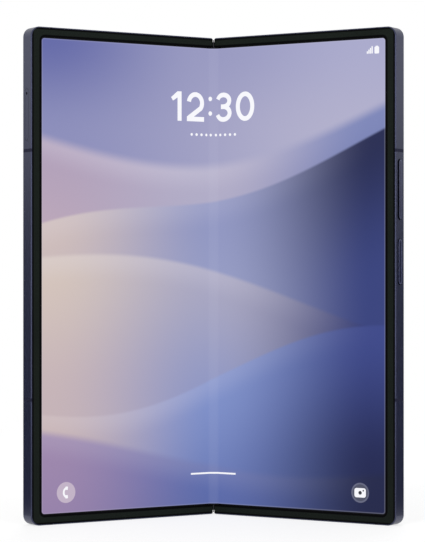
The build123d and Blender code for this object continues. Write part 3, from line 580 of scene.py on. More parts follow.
# %% [markdown]
# A circuit board is fibreglass under a green mask. Fine tracks run under the mask, one way in some areas
# and the other way in the rest, and small gold pads lie open in it. Nobody reads one track, so no real
# layout is drawn: a slow noise picks the areas, sines draw the tracks, and the pads are the middles of a
# texture of square cells.

# %% Circuit boards
TRACK_PITCH, TRACK_HEIGHT = 0.5 * MM, 0.015 * MM
AREA_CELLS, PAD_CELLS, PAD_SHARE = 220, 430, 0.09


def circuit_board():
    shader = Shader("circuit_board", Specular_IOR_Level=0.5)
    across, depth, up = shader.flat_place()
    area = shader.noise(AREA_CELLS, 1).smooth(0.49, 0.51)
    waves = [(place * (2 * math.pi / TRACK_PITCH)).sin() for place in (across, up)]
    one_way, other_way = [wave.smooth(0.2, 0.5) for wave in waves]
    tracks = area * one_way + (1 - area) * other_way
    mask = shader.mix(tracks, colour("0f3527"), colour("1b4f3a"))
    flat = shader.add("ShaderNodeCombineXYZ", {}, [across, up])
    cells = shader.add("ShaderNodeTexVoronoi", {"voronoi_dimensions": "2D", "distance": "CHEBYCHEV"},
                       {"Vector": flat, "Scale": PAD_CELLS, "Randomness": 0.7})
    pads = 1 - cells.smooth(PAD_SHARE, 1.2 * PAD_SHARE)
    shader.feed("Base Color", shader.mix(pads, mask, colour("c4a25a")))
    shader.feed("Metallic", pads)
    shader.feed("Roughness", 0.3 + 0.1 * tracks)
    shader.bump(tracks, TRACK_HEIGHT)
    return shader.material


board_mask = circuit_board()
print("tracks", TRACK_PITCH, "board", flat_box("main_board"))

# %% [markdown]
# Each battery is wrapped in crinkled black foil that is folded over at its top end. A cloth simulation
# could crinkle it, but the foil clings to the cell, so only its light is uneven: a noise that is stretched
# a little along the height moves the bump and the roughness, and a soft step marks the folded flap.

# %% Battery foil
FOIL_FLAP, FOIL_EDGE, CRINKLE_HEIGHT = 3.2 * MM, 0.15 * MM, 0.08 * MM
CRINKLE_CELLS, CRINKLE_STRETCH = 260, (1, 1, 0.4)


def foil_wrap(node):
    shader = Shader(f"{node}_foil", Specular_IOR_Level=0.5)
    top = flat_box(node)[1].z
    across, depth, up = shader.flat_place()
    flap = up.smooth(top - FOIL_FLAP, top - FOIL_FLAP + FOIL_EDGE)
    crinkles = shader.noise(CRINKLE_CELLS, 4, CRINKLE_STRETCH)
    tone = shader.mix(shader.noise(120, 2), colour("17181b"), colour("232428"))
    shader.feed("Base Color", shader.mix(flap, tone, colour("30323a")))
    shader.feed("Roughness", 0.3 + 0.2 * crinkles)
    shader.bump(2 * crinkles + flap, CRINKLE_HEIGHT)
    return shader.material


left_foil, right_foil = foil_wrap("left_battery"), foil_wrap("right_battery")
print("materials so far", len(bpy.data.materials))

# %% [markdown]
# Now each packed piece is dressed. The finishes could be given one by one where they are made, but a table
# from finish to pieces shows at a glance what is alike on the phone, and what no finish names can be
# counted. Those are the pieces that this scene replaces with its own: the three parts of the display and
# the lenses' windows.

# %% Give each CAD piece its finish
FINISHES = {
    rim_metal: ["left_frame", "right_frame", "sim_tray"],
    volume_metal: ["volume_key"],
    side_key_metal: ["side_key"],
    spine_metal: ["spine_cover"],
    island_metal: ["camera_island"],
    ring_metal: ["camera_lens_rings"],
    rim_plastic: ["left_bezel", "right_bezel"],
    cap_plastic: ["hinge_end_cap_bottom", "hinge_end_cap_top"],
    band_plastic: ["left_antenna_bands", "right_antenna_bands"],
    outer_glass: ["cover_glass"],
    outer_panel: ["cover_display_panel"],
    etched_glass: ["rear_glass"],
    flash_cover: ["flash_lens"],
    hinge_steel: ["hinge_brackets", "left_rotor_arms", "right_rotor_arms"],
    plate_steel: ["left_support_plate", "right_support_plate", "left_wing_plate", "right_wing_plate"],
    can_steel: ["board_shield", "sim_reader", "usb_c_port"],
    magnet_metal: ["left_magnets", "right_magnets"],
    coil_copper: ["charging_coil"],
    spreader_copper: ["vapor_chamber"],
    board_mask: ["sub_board", "main_board", "bottom_board"],
    left_foil: ["left_battery"],
    right_foil: ["right_battery"],
    black_plastic: ["cover_camera", "receiver_speaker", "camera_modules", "loudspeaker", "vibration_motor",
                    "inner_camera", "key_switches"],
}


def dress(piece, material):
    piece.data.materials.clear()
    piece.data.materials.append(material)


for material, names in FINISHES.items():
    for name in names:
        dress(nodes[name], material)
bare = set(nodes) - {name for names in FINISHES.values() for name in names}
print("left for the scene's own pieces:", sorted(bare))

# %% [markdown]
# The picture on the screen is soft overlapping dunes: warm sand on the left, dusk blue and navy on the
# right. It could be a painted image, but a rule stays sharp at any size, and one number moves a dune. So a
# dune is a row of a table: a wavy crest line, crisp or hazy, with a lit rim along the crest and tones that
# change below it. Heights and widths are shares of the open screen.

# %% Sky and dunes
SKY_LEFT, SKY_MIDDLE, SKY_RIGHT = colour("6268a6"), colour("9899c0"), colour("a9a9cb")
HORIZON_LEFT, HORIZON_RIGHT = colour("8a8cb9"), colour("b1afcb")
GLOW = colour("e9e6f4")
# crest height, slope, wave height, waves across, phase, edge, glow, then two rows of tones on the left, in
# the middle and on the right: at the crest and at the dune's foot
DUNES = [
    (0.82, 0.07, 0.090, 0.50, -0.50, 0.014, 0.18,
     ("b09fb8", "b1acc6", "7d86b8"), ("bfa9b8", "a3a4c4", "4d5690")),
    (0.68, 0.22, 0.030, 0.90, 0.20, 0.004, 0.12,
     ("cdbcb9", "8f95c0", "20264f"), ("b9aab8", "9aa0c6", "35407c")),
    (0.47, -0.10, 0.050, 0.60, 0.05, 0.006, 0.16,
     ("d3c3ba", "a8a6c0", "2c3672"), ("c4b2b6", "8d95c2", "1e2552")),
    (0.30, 0.12, 0.050, 0.80, 0.55, 0.004, 0.14,
     ("c6b2b2", "7f90c8", "3a4688"), ("a894b0", "6474b0", "1d2450")),
    (0.13, -0.05, 0.035, 0.70, 0.30, 0.010, 0.10,
     ("9c86ab", "5d6cab", "1c2248"), ("8f7ba6", "4a578f", "171c3c")),
]
print("dunes", len(DUNES), "crests at", [dune[0] for dune in DUNES])

# %% [markdown]
# The real screen shines by itself, so the picture is emitted light and looks the same from every side, over
# a dark base that mirrors a little. The shader reads the piece's own flat UV map, which runs over the whole
# open screen, so the picture is unbroken over the fold. Object coordinates would do at rest, but they would
# slide over the strip as it bends. A black border frames the picture, and a thin lighter line just inside
# it is a painted glint, as the display's edge mirrors light. Where the sheet bends, a faint band is rougher,
# and a painted sheen lightens the picture there.

# %% The lit picture
SCREEN_ROUGHNESS = 0.3
PICTURE_BORDER, BORDER_SOFT = 0.4 * MM, 0.04 * MM
CREASE, CREASE_SHEEN_AND_HAZE = 2.9 * MM, 0.03
EDGE_GLINT, EDGE_GLINT_START, EDGE_GLINT_END = 0.12, -0.4 * MM, -0.2 * MM
LEFT_SPAN, RIGHT_SPAN, HORIZON_SPAN, SKY_SPAN = (0.04, 0.5), (0.5, 0.94), (0.0, 0.9), (0.78, 0.99)
BODY_FADE, GLOW_FADE, GLOW_SPAN = 0.3, 0.06, (0.3, 1.0)


def screen_picture():
    shader = Shader("screen_picture", Roughness=SCREEN_ROUGHNESS, Specular_IOR_Level=0.1,
                    Base_Color=(0.003, 0.003, 0.004, 1), Emission_Strength=1.0)
    u, v, _ = shader.parts(shader.add("ShaderNodeUVMap", {"uv_map": "flat"}, {}))

    def three_tones(left, middle, right):
        half = shader.mix(u.smooth(*LEFT_SPAN), left, middle)
        return shader.mix(u.smooth(*RIGHT_SPAN), half, right)

    top = three_tones(SKY_LEFT, SKY_MIDDLE, SKY_RIGHT)
    horizon = shader.mix(u.smooth(*HORIZON_SPAN), HORIZON_LEFT, HORIZON_RIGHT)
    picture = shader.mix(v.smooth(*SKY_SPAN), horizon, top)
    for crest, slope, swing, waves, phase, edge, glow, high_tones, low_tones in DUNES:
        ridge = crest + slope * (u - 0.5) + swing * (2 * math.pi * (waves * u + phase)).sin()
        below = ridge - v
        body = shader.mix(below.smooth(0.0, BODY_FADE), three_tones(*map(colour, high_tones)),
                          three_tones(*map(colour, low_tones)))
        lit = shader.mix((1 - below.smooth(0.0, GLOW_FADE)) * (1 - u.smooth(*GLOW_SPAN)) * glow, body, GLOW)
        picture = shader.mix(below.smooth(-edge, edge), picture, lit)

    across, up = (u - 0.5) * (2 * HALF_WIDTH), v * HEIGHT
    # painted sheen over the crease, a lighter band in the picture; the same share also raises the roughness
    # there
    crease_sheen_and_haze = (1 - abs(across).smooth(0.2 * CREASE, CREASE)) * CREASE_SHEEN_AND_HAZE
    picture = shader.mix(crease_sheen_and_haze, picture, colour("d9dcf2"))
    beyond = outside_window(across, up, PICTURE_BORDER)
    # painted glint: a thin lighter line just inside the picture's border
    edge_glint = beyond.smooth(EDGE_GLINT_START, EDGE_GLINT_END) * EDGE_GLINT
    picture = shader.mix(edge_glint, picture, colour("d8d8ea"))
    border = beyond.smooth(-BORDER_SOFT, BORDER_SOFT)
    shader.feed("Emission Color", shader.mix(border, picture, (0, 0, 0, 1)))
    shader.feed("Roughness", SCREEN_ROUGHNESS + crease_sheen_and_haze)
    return shader.material


screen_light = screen_picture()
print("picture nodes", len(screen_light.node_tree.nodes))

# %% [markdown]
# Everything the scene adds is drawn flat and then carried to its resting place point by point. A Simple
# Deform modifier could bend it, but only round one arc, and the strip's bend is not one. A piece on a stiff
# half, such as the gauze in its end wall, only rides on that half.

# %% Carrying flat meshes to their places


def finished(name, shape, material):
    """Carries a flat mesh to its resting place and makes it a piece with a material."""
    for vertex in shape.verts:
        vertex.co = resting(*vertex.co)
    bmesh.ops.recalc_face_normals(shape, faces=shape.faces)
    mesh = bpy.data.meshes.new(name)
    shape.to_mesh(mesh)
    shape.free()
    mesh.materials.append(material)
    piece = bpy.data.objects.new(name, mesh)
    bpy.context.scene.collection.objects.link(piece)
    return piece


def on_half(name, shape, material, half):
    piece = finished(name, shape, material)
    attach(piece, half)
    return piece


print("a point 20 mm out on the flat screen rests at", resting(20 * MM, SCREEN_DEPTH, 0))

# %% [markdown]
# A piece on the screen needs more care, because the real sheet is one part that moves with three bodies. It
# is cut at the fold and at the two ends of the bending strip, into four zones. A Boolean could cut it too,
# but a bisect is exact and quick on thin plates. Each part is closed where it is cut.

# %% Cutting at the fold
FAR = 1.0
ZONES = [
    ("left", -FAR, -STRIP_END, "left_half", None),
    ("left_fold", -STRIP_END, 0.0, "left_half", -1),
    ("right_fold", 0.0, STRIP_END, "right_half", 1),
    ("right", STRIP_END, FAR, "right_half", None),
]


def cut_zone(shape, low, high):
    """A copy of a flat mesh between two distances from the fold, closed where it is cut."""
    part = shape.copy()
    for place, normal in ((low, -1), (high, 1)):
        geometry = part.verts[:] + part.edges[:] + part.faces[:]
        cut = bmesh.ops.bisect_plane(part, geom=geometry, plane_co=(place, 0, 0), plane_no=(normal, 0, 0),
                                     clear_outer=True, dist=1e-9)
        edges = [item for item in cut["geom_cut"] if isinstance(item, bmesh.types.BMEdge)]
        bmesh.ops.holes_fill(part, edges=edges)
    return part


print("zones", [zone[:3] for zone in ZONES])

# %% [markdown] The outer two zones of a piece ride on their halves. The inner two stay where they rest, on no
# body. Each part gets a flat UV map in shares of the whole open screen.

# %% Laying things on the screen


def on_screen(name, shape, material, standing_for=None):
    """Places a flat mesh on the resting screen, in as many pieces as it has zones."""
    made = []
    for zone, low, high, half, side in ZONES:
        part = cut_zone(shape, low, high)
        if not part.faces:
            part.free()
            continue
        uv = part.loops.layers.uv.new("flat")
        for face in part.faces:
            for loop in face.loops:
                point = loop.vert.co
                loop[uv].uv = (point.x / (2 * HALF_WIDTH) + 0.5, point.z / HEIGHT)
        piece = finished(f"{name}_{zone}", part, material)
        if side is None:
            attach(piece, half)
        else:
            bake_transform(piece)
        if standing_for:
            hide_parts(standing_for[zone])
        made.append(piece)
    shape.free()
    return made


print("the flat UV map spans", 2 * HALF_WIDTH, "by", HEIGHT)

# %% [markdown]
# The display is one thin laminated sheet that tucks under the rim at its outer edges. A box with a Bevel
# modifier would have its corners, but no columns to bend at. So it is drawn as a row of rings, one for each
# column of the slab: many thin ones near the fold, a few on the stiff panels and a quarter circle of them
# at each corner.

# %% The folding display
TUCK_CORNER = 2.1 * MM
CORNER_STEPS, PANEL_COLUMNS, FOLD_COLUMNS = 8, 10, 28
FOLD_TRIM, TRIM_START, TRIM_RUN = 0.85 * MM, 2.0 * MM, 0.9 * MM


def display_columns():
    """Distances from the fold at which the slab has a column, with the height taken off at the corners."""
    straight_end = PANEL_HIGH.x - TUCK_CORNER
    columns = [(STRIP_END * i / FOLD_COLUMNS, 0.0) for i in range(FOLD_COLUMNS + 1)]
    columns += [(STRIP_END + (straight_end - STRIP_END) * i / PANEL_COLUMNS, 0.0)
                for i in range(1, PANEL_COLUMNS + 1)]
    for i in range(1, CORNER_STEPS + 1):
        angle = math.pi / 2 * i / CORNER_STEPS
        columns.append((straight_end + TUCK_CORNER * math.sin(angle), TUCK_CORNER * (1 - math.cos(angle))))
    return [(-x, inset) for x, inset in reversed(columns[1:])] + columns


def fold_inset(x):
    """Near the fold the sheet is trimmed short, to roll behind the rim's ends."""
    return FOLD_TRIM * (1 - ease((abs(x) - TRIM_START) / TRIM_RUN))


def display_slab():
    slab = bmesh.new()
    rings = []
    front, back = PANEL_LOW.y, PANEL_HIGH.y
    for x, inset in display_columns():
        inset += fold_inset(x)
        low, high = PANEL_LOW.z + inset, PANEL_HIGH.z - inset
        corners = ((front, low), (front, high), (back, high), (back, low))
        rings.append([slab.verts.new((x, y, z)) for y, z in corners])
    for first, second in zip(rings, rings[1:]):
        for i in range(4):
            j = (i + 1) % 4
            slab.faces.new((first[i], first[j], second[j], second[i]))
    slab.faces.new(rings[0])
    slab.faces.new(rings[-1])
    return slab


display = on_screen("display", display_slab(), screen_light, {
    "left": "left_display_panel", "left_fold": "display_fold_strip",
    "right_fold": "display_fold_strip", "right": "right_display_panel"})
print("display pieces", [piece.name for piece in display])

# %% [markdown]
# The lens stacks, the socket's contacts, the gauze wires and the dots under the clock all repeat in even
# rows. An Array modifier makes one row, and a loop could copy the rest. One small Geometry Nodes group does
# all of it: it sets copies of the mesh it is given along a first line and copies of that row along a second
# line, realizes them and gives them their material.

# %% A group that makes rows


def rows_group():
    group = bpy.data.node_groups.new("rows", "GeometryNodeTree")
    group.interface.new_socket("Geometry", in_out="INPUT", socket_type="NodeSocketGeometry")
    for label, kind in (("Columns", "Int"), ("Column Step", "Vector"), ("Rows", "Int"),
                        ("Row Step", "Vector"), ("Material", "Material")):
        group.interface.new_socket(label, in_out="INPUT", socket_type=f"NodeSocket{kind}")
    group.interface.new_socket("Geometry", in_out="OUTPUT", socket_type="NodeSocketGeometry")
    inputs = group.nodes.new("NodeGroupInput").outputs

    def line_of(copied, count, step):
        line = group.nodes.new("GeometryNodeMeshLine")
        group.links.new(inputs[count], line.inputs["Count"])
        group.links.new(inputs[step], line.inputs["Offset"])
        copies = group.nodes.new("GeometryNodeInstanceOnPoints")
        group.links.new(line.outputs[0], copies.inputs["Points"])
        group.links.new(copied, copies.inputs["Instance"])
        return copies.outputs[0]

    row = line_of(inputs["Geometry"], "Columns", "Column Step")
    field = line_of(row, "Rows", "Row Step")
    realized = group.nodes.new("GeometryNodeRealizeInstances")
    group.links.new(field, realized.inputs[0])
    painted = group.nodes.new("GeometryNodeSetMaterial")
    group.links.new(realized.outputs[0], painted.inputs["Geometry"])
    group.links.new(inputs["Material"], painted.inputs["Material"])
    group.links.new(painted.outputs[0], group.nodes.new("NodeGroupOutput").inputs[0])
    return group


ROWS = rows_group()
print("rows group", len(ROWS.nodes), "nodes")

# %% [markdown]
# To use the group, the mesh to repeat is put on an object for a moment. The modifier's inputs go by the
# identifiers of the group's sockets, and they are set before the object is first evaluated. The result is
# kept as a plain mesh, because an export drops instances, and the object, its modifier and the first mesh
# are thrown away.

# %% Rows of a mesh


def in_rows(shape, material, columns=1, column_step=(0, 0, 0), rows=1, row_step=(0, 0, 0)):
    """Repeats a flat mesh in rows and returns the plain result."""
    mesh = bpy.data.meshes.new("unit")
    shape.to_mesh(mesh)
    shape.free()
    holder = bpy.data.objects.new("unit", mesh)
    bpy.context.scene.collection.objects.link(holder)
    modifier = holder.modifiers.new("rows", "NODES")
    modifier.node_group = ROWS
    sockets = {item.name: item.identifier for item in ROWS.interface.items_tree if item.in_out == "INPUT"}
    values = {"Columns": columns, "Column Step": column_step, "Rows": rows, "Row Step": row_step,
              "Material": material}
    for label, value in values.items():
        modifier[sockets[label]] = value
    settled = holder.evaluated_get(bpy.context.evaluated_depsgraph_get())
    made = bpy.data.meshes.new_from_object(settled)
    bpy.data.objects.remove(holder)
    repeated = bmesh.new()
    repeated.from_mesh(made)
    bpy.data.meshes.remove(made)
    bpy.data.meshes.remove(mesh)
    return repeated


print("inputs of a row", [item.name for item in ROWS.interface.items_tree if item.in_out == "INPUT"])

# %% [markdown]
# The clock and the signs on the screen are lit shapes a hair in front of the picture. They could be painted
# into the picture's shader, but as thin plates they stay crisp from near by, and each can be moved or left
# out. A plate is a flat outline and its copy a little deeper, with walls between them. Signs are stacked in
# layers, so that a glyph stands in front of its disc.

# %% Thin lit plates
SIGN_LIFT, SIGN_THICKNESS = 0.03 * MM, 0.02 * MM


def sign_light(name, tone):
    shader = Shader(name, Roughness=0.3, Specular_IOR_Level=0.1, Base_Color=(0.01, 0.01, 0.01, 1),
                    Emission_Strength=1.0)
    shader.feed("Emission Color", shader.mix(shader.noise(300, 1), shade(tone, 0.96), tone))
    return shader.material


def raised(faces, points, layer):
    """A thin closed plate from a flat outline mesh: faces name points (x, z) in millimetres."""
    shape = bmesh.new()
    front = SCREEN_DEPTH - SIGN_LIFT * layer
    sheets = [[shape.verts.new((x * MM, depth, z * MM)) for x, z in points]
              for depth in (front, front + SIGN_THICKNESS)]
    sides = {}
    for face in faces:
        for sheet in sheets:
            shape.faces.new([sheet[i] for i in face])
        for edge in zip(face, face[1:] + face[:1]):
            sides[edge] = sides.get(edge[::-1], 0) + 1
            if edge[::-1] in sides:
                del sides[edge], sides[edge[::-1]]
    for i, j in sides:
        shape.faces.new((sheets[0][i], sheets[0][j], sheets[1][j], sheets[1][i]))
    return shape


white_light = sign_light("white_light", colour("f8f8fd"))
print("plates stand", SIGN_LIFT, "apart and are", SIGN_THICKNESS, "thick")

# %% [markdown]
# Most signs are drawn with a pen: a stroke of even width whose middle follows a path of points. A Curve
# object with a bevel would do that as well, but it would have to be turned into a mesh and closed before it
# could be cut at the fold. The stroke sets two points beside each point of the path, square to the way the
# path runs there. A path is straight lines and arcs, and an arc is a row of points on a circle or an oval.

# %% Pen strokes


def stroke(path, width, layer=1, closed=False, foot=None):
    """A line of even width along points (x, z) in millimetres. A foot gives its last end other corners."""
    count = len(path)
    points = []
    for i, (x, z) in enumerate(path):
        before = path[i - 1] if i or closed else path[i]
        after = path[(i + 1) % count] if i < count - 1 or closed else path[i]
        dx, dz = after[0] - before[0], after[1] - before[1]
        reach = math.hypot(dx, dz)
        shift = (-dz / reach * width / 2, dx / reach * width / 2)
        points += [(x + shift[0], z + shift[1]), (x - shift[0], z - shift[1])]
    if foot:
        points[-2:] = foot
    last = count if closed else count - 1
    faces = []
    for i in range(last):
        j = (i + 1) % count
        faces.append([2 * i, 2 * i + 1, 2 * j + 1, 2 * j])
    return raised(faces, points, layer)


def arc(x, z, radius_x, radius_z, start, end, steps=24):
    turn = [math.radians(start + (end - start) * i / steps) for i in range(steps + 1)]
    return [(x + radius_x * math.cos(t), z + radius_z * math.sin(t)) for t in turn]


print("a quarter turn of the pen", arc(0, 0, 1, 1, 0, 90, 3))

# %% [markdown]
# What isn't drawn with the pen is cut out whole: discs, round-cornered tiles and other outlines without
# dents. One flat face with many corners is enough for each, as long as it doesn't bend, and the fold's cut
# keeps it closed. The strokes and cut-outs of one sign are joined to one mesh, so that the sign is a single
# piece in each zone.

# %% Discs, tiles and joined signs
TILE_CORNER_STEPS = 5


def patch(points, layer=1):
    """A plate from one outline without dents."""
    return raised([list(range(len(points)))], points, layer)


def disc(x, z, radius, layer=1, steps=40):
    return patch(arc(x, z, radius, radius, 0, 360, steps)[:-1], layer)


def tile(x, z, width, height, corner, layer=1):
    """A round-cornered rectangle about its middle."""
    points = []
    for side_x, side_z, start in ((1, 1, 0), (-1, 1, 90), (-1, -1, 180), (1, -1, 270)):
        points += arc(x + side_x * (width / 2 - corner), z + side_z * (height / 2 - corner), corner, corner,
                      start, start + 90, TILE_CORNER_STEPS)
    return patch(points, layer)


def joined(shapes):
    """One mesh from several."""
    whole = bmesh.new()
    for shape in shapes:
        mesh = bpy.data.meshes.new("part")
        shape.to_mesh(mesh)
        shape.free()
        whole.from_mesh(mesh)
        bpy.data.meshes.remove(mesh)
    return whole


print("a tile has", 4 * (TILE_CORNER_STEPS + 1), "corners")

# %% [markdown]
# The clock is the largest sign, four plain numerals and a colon. A Text object would be quick, but its
# shapes hang on whatever font is installed, and a real font is somebody's design. So each numeral is a few
# arcs and lines for the pen. Sizes on the screen are in millimetres: distance from the fold, then height.

# %% The clock's numerals
CLOCK_LOW, CLOCK_HIGH, PEN = 126.4, 135.8, 1.5
COLON_X, COLON_LOW, COLON_HIGH, COLON_DOT = -1.2, 129.15, 133.85, 0.72
# the one's tip: how far below the top its upper corner lies, how far in and below the top its lower corner,
# and how far below the top it joins the stem
TIP_TOP, TIP_IN, TIP_LOW, TIP_JOIN = 1.95, 0.72, 3.05, 1.5
BOW_SHARE, FOOT_PENS, UPPER_SHARE, UPPER_NARROW, WAIST_RUN = 0.29, 1.75, 0.48, 0.95, 0.9


def numeral(sign, left, right):
    """One digit's paths between two distances from the fold."""
    width, height = right - left, CLOCK_HIGH - CLOCK_LOW
    half = PEN / 2
    middle, sweep = left + width / 2, (width - PEN) / 2
    top, base = CLOCK_HIGH - half, CLOCK_LOW + half
    if sign == "1":
        tip = [(right - half, CLOCK_HIGH), (right - PEN, CLOCK_HIGH), (left, CLOCK_HIGH - TIP_TOP),
               (left + TIP_IN, CLOCK_HIGH - TIP_LOW), (right - half, CLOCK_HIGH - TIP_JOIN)]
        return [stroke([(right - half, CLOCK_LOW), (right - half, CLOCK_HIGH)], PEN), patch(tip)]
    if sign == "2":
        rise = BOW_SHARE * height
        bow = arc(middle, top - rise, sweep, rise, 172, -38)
        foot_width, floor = FOOT_PENS * PEN, base + half
        foot = [(left + foot_width, floor), (left, floor)]
        return [stroke(bow + [(left + foot_width / 2, floor)], PEN, foot=foot),
                stroke([(left, base), (right, base)], PEN)]
    if sign == "3":
        upper = UPPER_SHARE * (top - base) / 2
        lower = (top - base) / 2 - upper
        waist = (middle - WAIST_RUN, base + 2 * lower)
        return [stroke(arc(middle, top - upper, UPPER_NARROW * sweep, upper, 165, -90) + [waist], PEN),
                stroke([waist] + arc(middle, base + lower, sweep, lower, 90, -165), PEN)]
    loop = arc(middle, (top + base) / 2, sweep, (top - base) / 2, 0, 360, 48)[:-1]
    return [stroke(loop, PEN, closed=True)]


hours = numeral("1", -16.1, -12.2) + numeral("2", -10.2, -3.75)
minutes = numeral("3", 0.75, 7.0) + numeral("0", 8.6, 15.5)
colon = [disc(COLON_X, z, COLON_DOT, steps=28) for z in (COLON_LOW, COLON_HIGH)]
for name, strokes in (("clock_hours", hours), ("clock_minutes", minutes), ("clock_colon", colon)):
    print(name, [piece.name for piece in on_screen(name, joined(strokes), white_light)])

# %% [markdown]
# A row of small dots stands under the clock, and a plain line lies at the foot of the screen. Both cross
# the fold, so the line is given many short steps: a single long face would stay straight where the screen
# bends.

# %% Dots and line
DOTS_Z, DOTS_START, DOTS_STEP, DOTS_COUNT, DOT = 122.2, -8.4, 1.85, 10, 0.44
LINE_Z, LINE_START, LINE_END, LINE_WIDTH, LINE_STEPS = 13.3, -8.7, 8.5, 0.55, 40
dots = in_rows(disc(DOTS_START, DOTS_Z, DOT, steps=16), white_light, DOTS_COUNT, (DOTS_STEP * MM, 0, 0))
on_screen("clock_dots", dots, white_light)
line = [(LINE_START + (LINE_END - LINE_START) * i / LINE_STEPS, LINE_Z) for i in range(LINE_STEPS + 1)]
on_screen("foot_line", stroke(line, LINE_WIDTH), white_light)
print("dots", DOTS_COUNT, "line", LINE_END - LINE_START)

# %% [markdown]
# The lower left corner has a round shortcut with a handset: a pale disc and, a layer in front, a thin bowed
# grip with a thick short bar at each end. Three strokes of the pen draw it in any size.

# %% The handset sign
CALL_X, CALL_Z, CALL_RADIUS = -54.0, 9.7, 3.25
GRIP_X, GRIP_RADII, GRIP_PEN = 0.5, (1.35, 1.5), 0.62
EAR_START, EAR_END, EAR_PEN = (-0.25, 1.36), (0.6, 1.3), 1.0
call_disc = sign_light("call_disc", colour("c2b2c6"))
on_screen("call_disc", disc(CALL_X, CALL_Z, CALL_RADIUS), call_disc)
handset = [stroke(arc(CALL_X + GRIP_X, CALL_Z, *GRIP_RADII, 110, 250), GRIP_PEN, 2)]
for way in (1, -1):
    ear = [(CALL_X + x, CALL_Z + way * z) for x, z in (EAR_START, EAR_END)]
    handset.append(stroke(ear, EAR_PEN, 2))
on_screen("call_handset", joined(handset), white_light)
print("handset sign at", CALL_X, CALL_Z)

# %% [markdown]
# The lower right corner has its twin with a camera: a dark disc with a lighter ring, a white body with
# round corners, and on it, one more layer in front, a lens and a small lamp.

# %% The camera sign
SHOT_X, SHOT_Z, SHOT_RADIUS, SHOT_RIM = 53.75, 9.6, 3.1, 0.5
BODY_WIDTH, BODY_HEIGHT, BODY_CORNER = 4.0, 2.9, 0.7
LENS_DOT, LAMP_X, LAMP_Z, LAMP_DOT = 0.6, 1.12, 0.7, 0.27
shot_rim = sign_light("shot_rim", colour("63667f"))
shot_disc = sign_light("shot_disc", colour("4b4e63"))
shot_dark = sign_light("shot_dark", colour("34363f"))
ring_radius = SHOT_RADIUS - SHOT_RIM / 2
ring = arc(SHOT_X, SHOT_Z, ring_radius, ring_radius, 0, 360, 48)[:-1]
on_screen("shot_rim", stroke(ring, SHOT_RIM, 1, closed=True), shot_rim)
on_screen("shot_disc", disc(SHOT_X, SHOT_Z, SHOT_RADIUS - SHOT_RIM), shot_disc)
on_screen("shot_body", tile(SHOT_X, SHOT_Z, BODY_WIDTH, BODY_HEIGHT, BODY_CORNER, 2), white_light)
eyes = [disc(SHOT_X, SHOT_Z, LENS_DOT, 3, 24), disc(SHOT_X + LAMP_X, SHOT_Z + LAMP_Z, LAMP_DOT, 3, 16)]
on_screen("shot_eyes", joined(eyes), shot_dark)
print("camera sign at", SHOT_X, SHOT_Z)

# %% [markdown]
# The upper right corner tells how strong the signal is and how full the battery: four bars that grow by
# even steps, and a round-cornered cell with a small knob on top. All six are tiles.

# %% Strength bars and battery sign
BARS_START, BARS_LOW, BAR_COUNT, BAR_WIDTH, BAR_STEP = 56.05, 145.5, 4, 0.42, 0.56
BAR_FIRST, BAR_GROWTH, SMALL_CORNER = 0.75, 0.5, 0.08
BATTERY_X, BATTERY_LOW = 59.55, 145.4
CELL_WIDTH, CELL_HEIGHT, CELL_CORNER, KNOB_WIDTH, KNOB_HEIGHT = 1.6, 2.16, 0.3, 0.8, 0.24
bars = []
for i in range(BAR_COUNT):
    height = BAR_FIRST + BAR_GROWTH * i
    middle = BARS_START + BAR_WIDTH / 2 + BAR_STEP * i
    bars.append(tile(middle, BARS_LOW + height / 2, BAR_WIDTH, height, SMALL_CORNER))
on_screen("strength_bars", joined(bars), white_light)
knob_middle = BATTERY_LOW + CELL_HEIGHT + KNOB_HEIGHT / 2
cell = [tile(BATTERY_X, BATTERY_LOW + CELL_HEIGHT / 2, CELL_WIDTH, CELL_HEIGHT, CELL_CORNER),
        tile(BATTERY_X, knob_middle, KNOB_WIDTH, KNOB_HEIGHT, SMALL_CORNER)]
on_screen("battery_sign", joined(cell), white_light)
print("bars", BAR_COUNT, "last", height, "mm high")

# %% [markdown]
# Behind each rear window sits a stack of lens elements: a domed front element, black baffle steps and the
# flat rim of the glass. A Screw modifier could turn it from a profile. Turned by hand, it can also carry a
# UV map that holds the distance from its axis, so that the coatings can be coloured in rings. Only the dome
# is shaded smooth.

# %% The shape of a lens stack
WINDOWS_LOW, WINDOWS_HIGH = flat_box("camera_lens_windows")
LENS_COUNT = 3
LENS_RADIUS = (WINDOWS_HIGH.x - WINDOWS_LOW.x) / 2
LENS_X = (WINDOWS_HIGH.x + WINDOWS_LOW.x) / 2
LENS_LOW_Z = WINDOWS_LOW.z + LENS_RADIUS
LENS_PITCH = (WINDOWS_HIGH.z - WINDOWS_LOW.z - 2 * LENS_RADIUS) / (LENS_COUNT - 1)
LENS_STEPS, DOME_RISE, DOME_SHARE = 72, 0.74, 0.49
# share of the radius and share of the height of the stack, from the middle outwards
LENS_PROFILE = [
    (0.10, 0.735), (0.20, 0.72), (0.30, 0.69), (0.40, 0.64), (0.48, 0.58), (0.50, 0.50), (0.56, 0.50),
    (0.57, 0.62), (0.66, 0.64), (0.67, 0.76), (0.76, 0.79), (0.77, 0.90), (0.86, 0.93), (0.88, 1.0),
    (1.0, 1.0), (1.0, 0.0)]


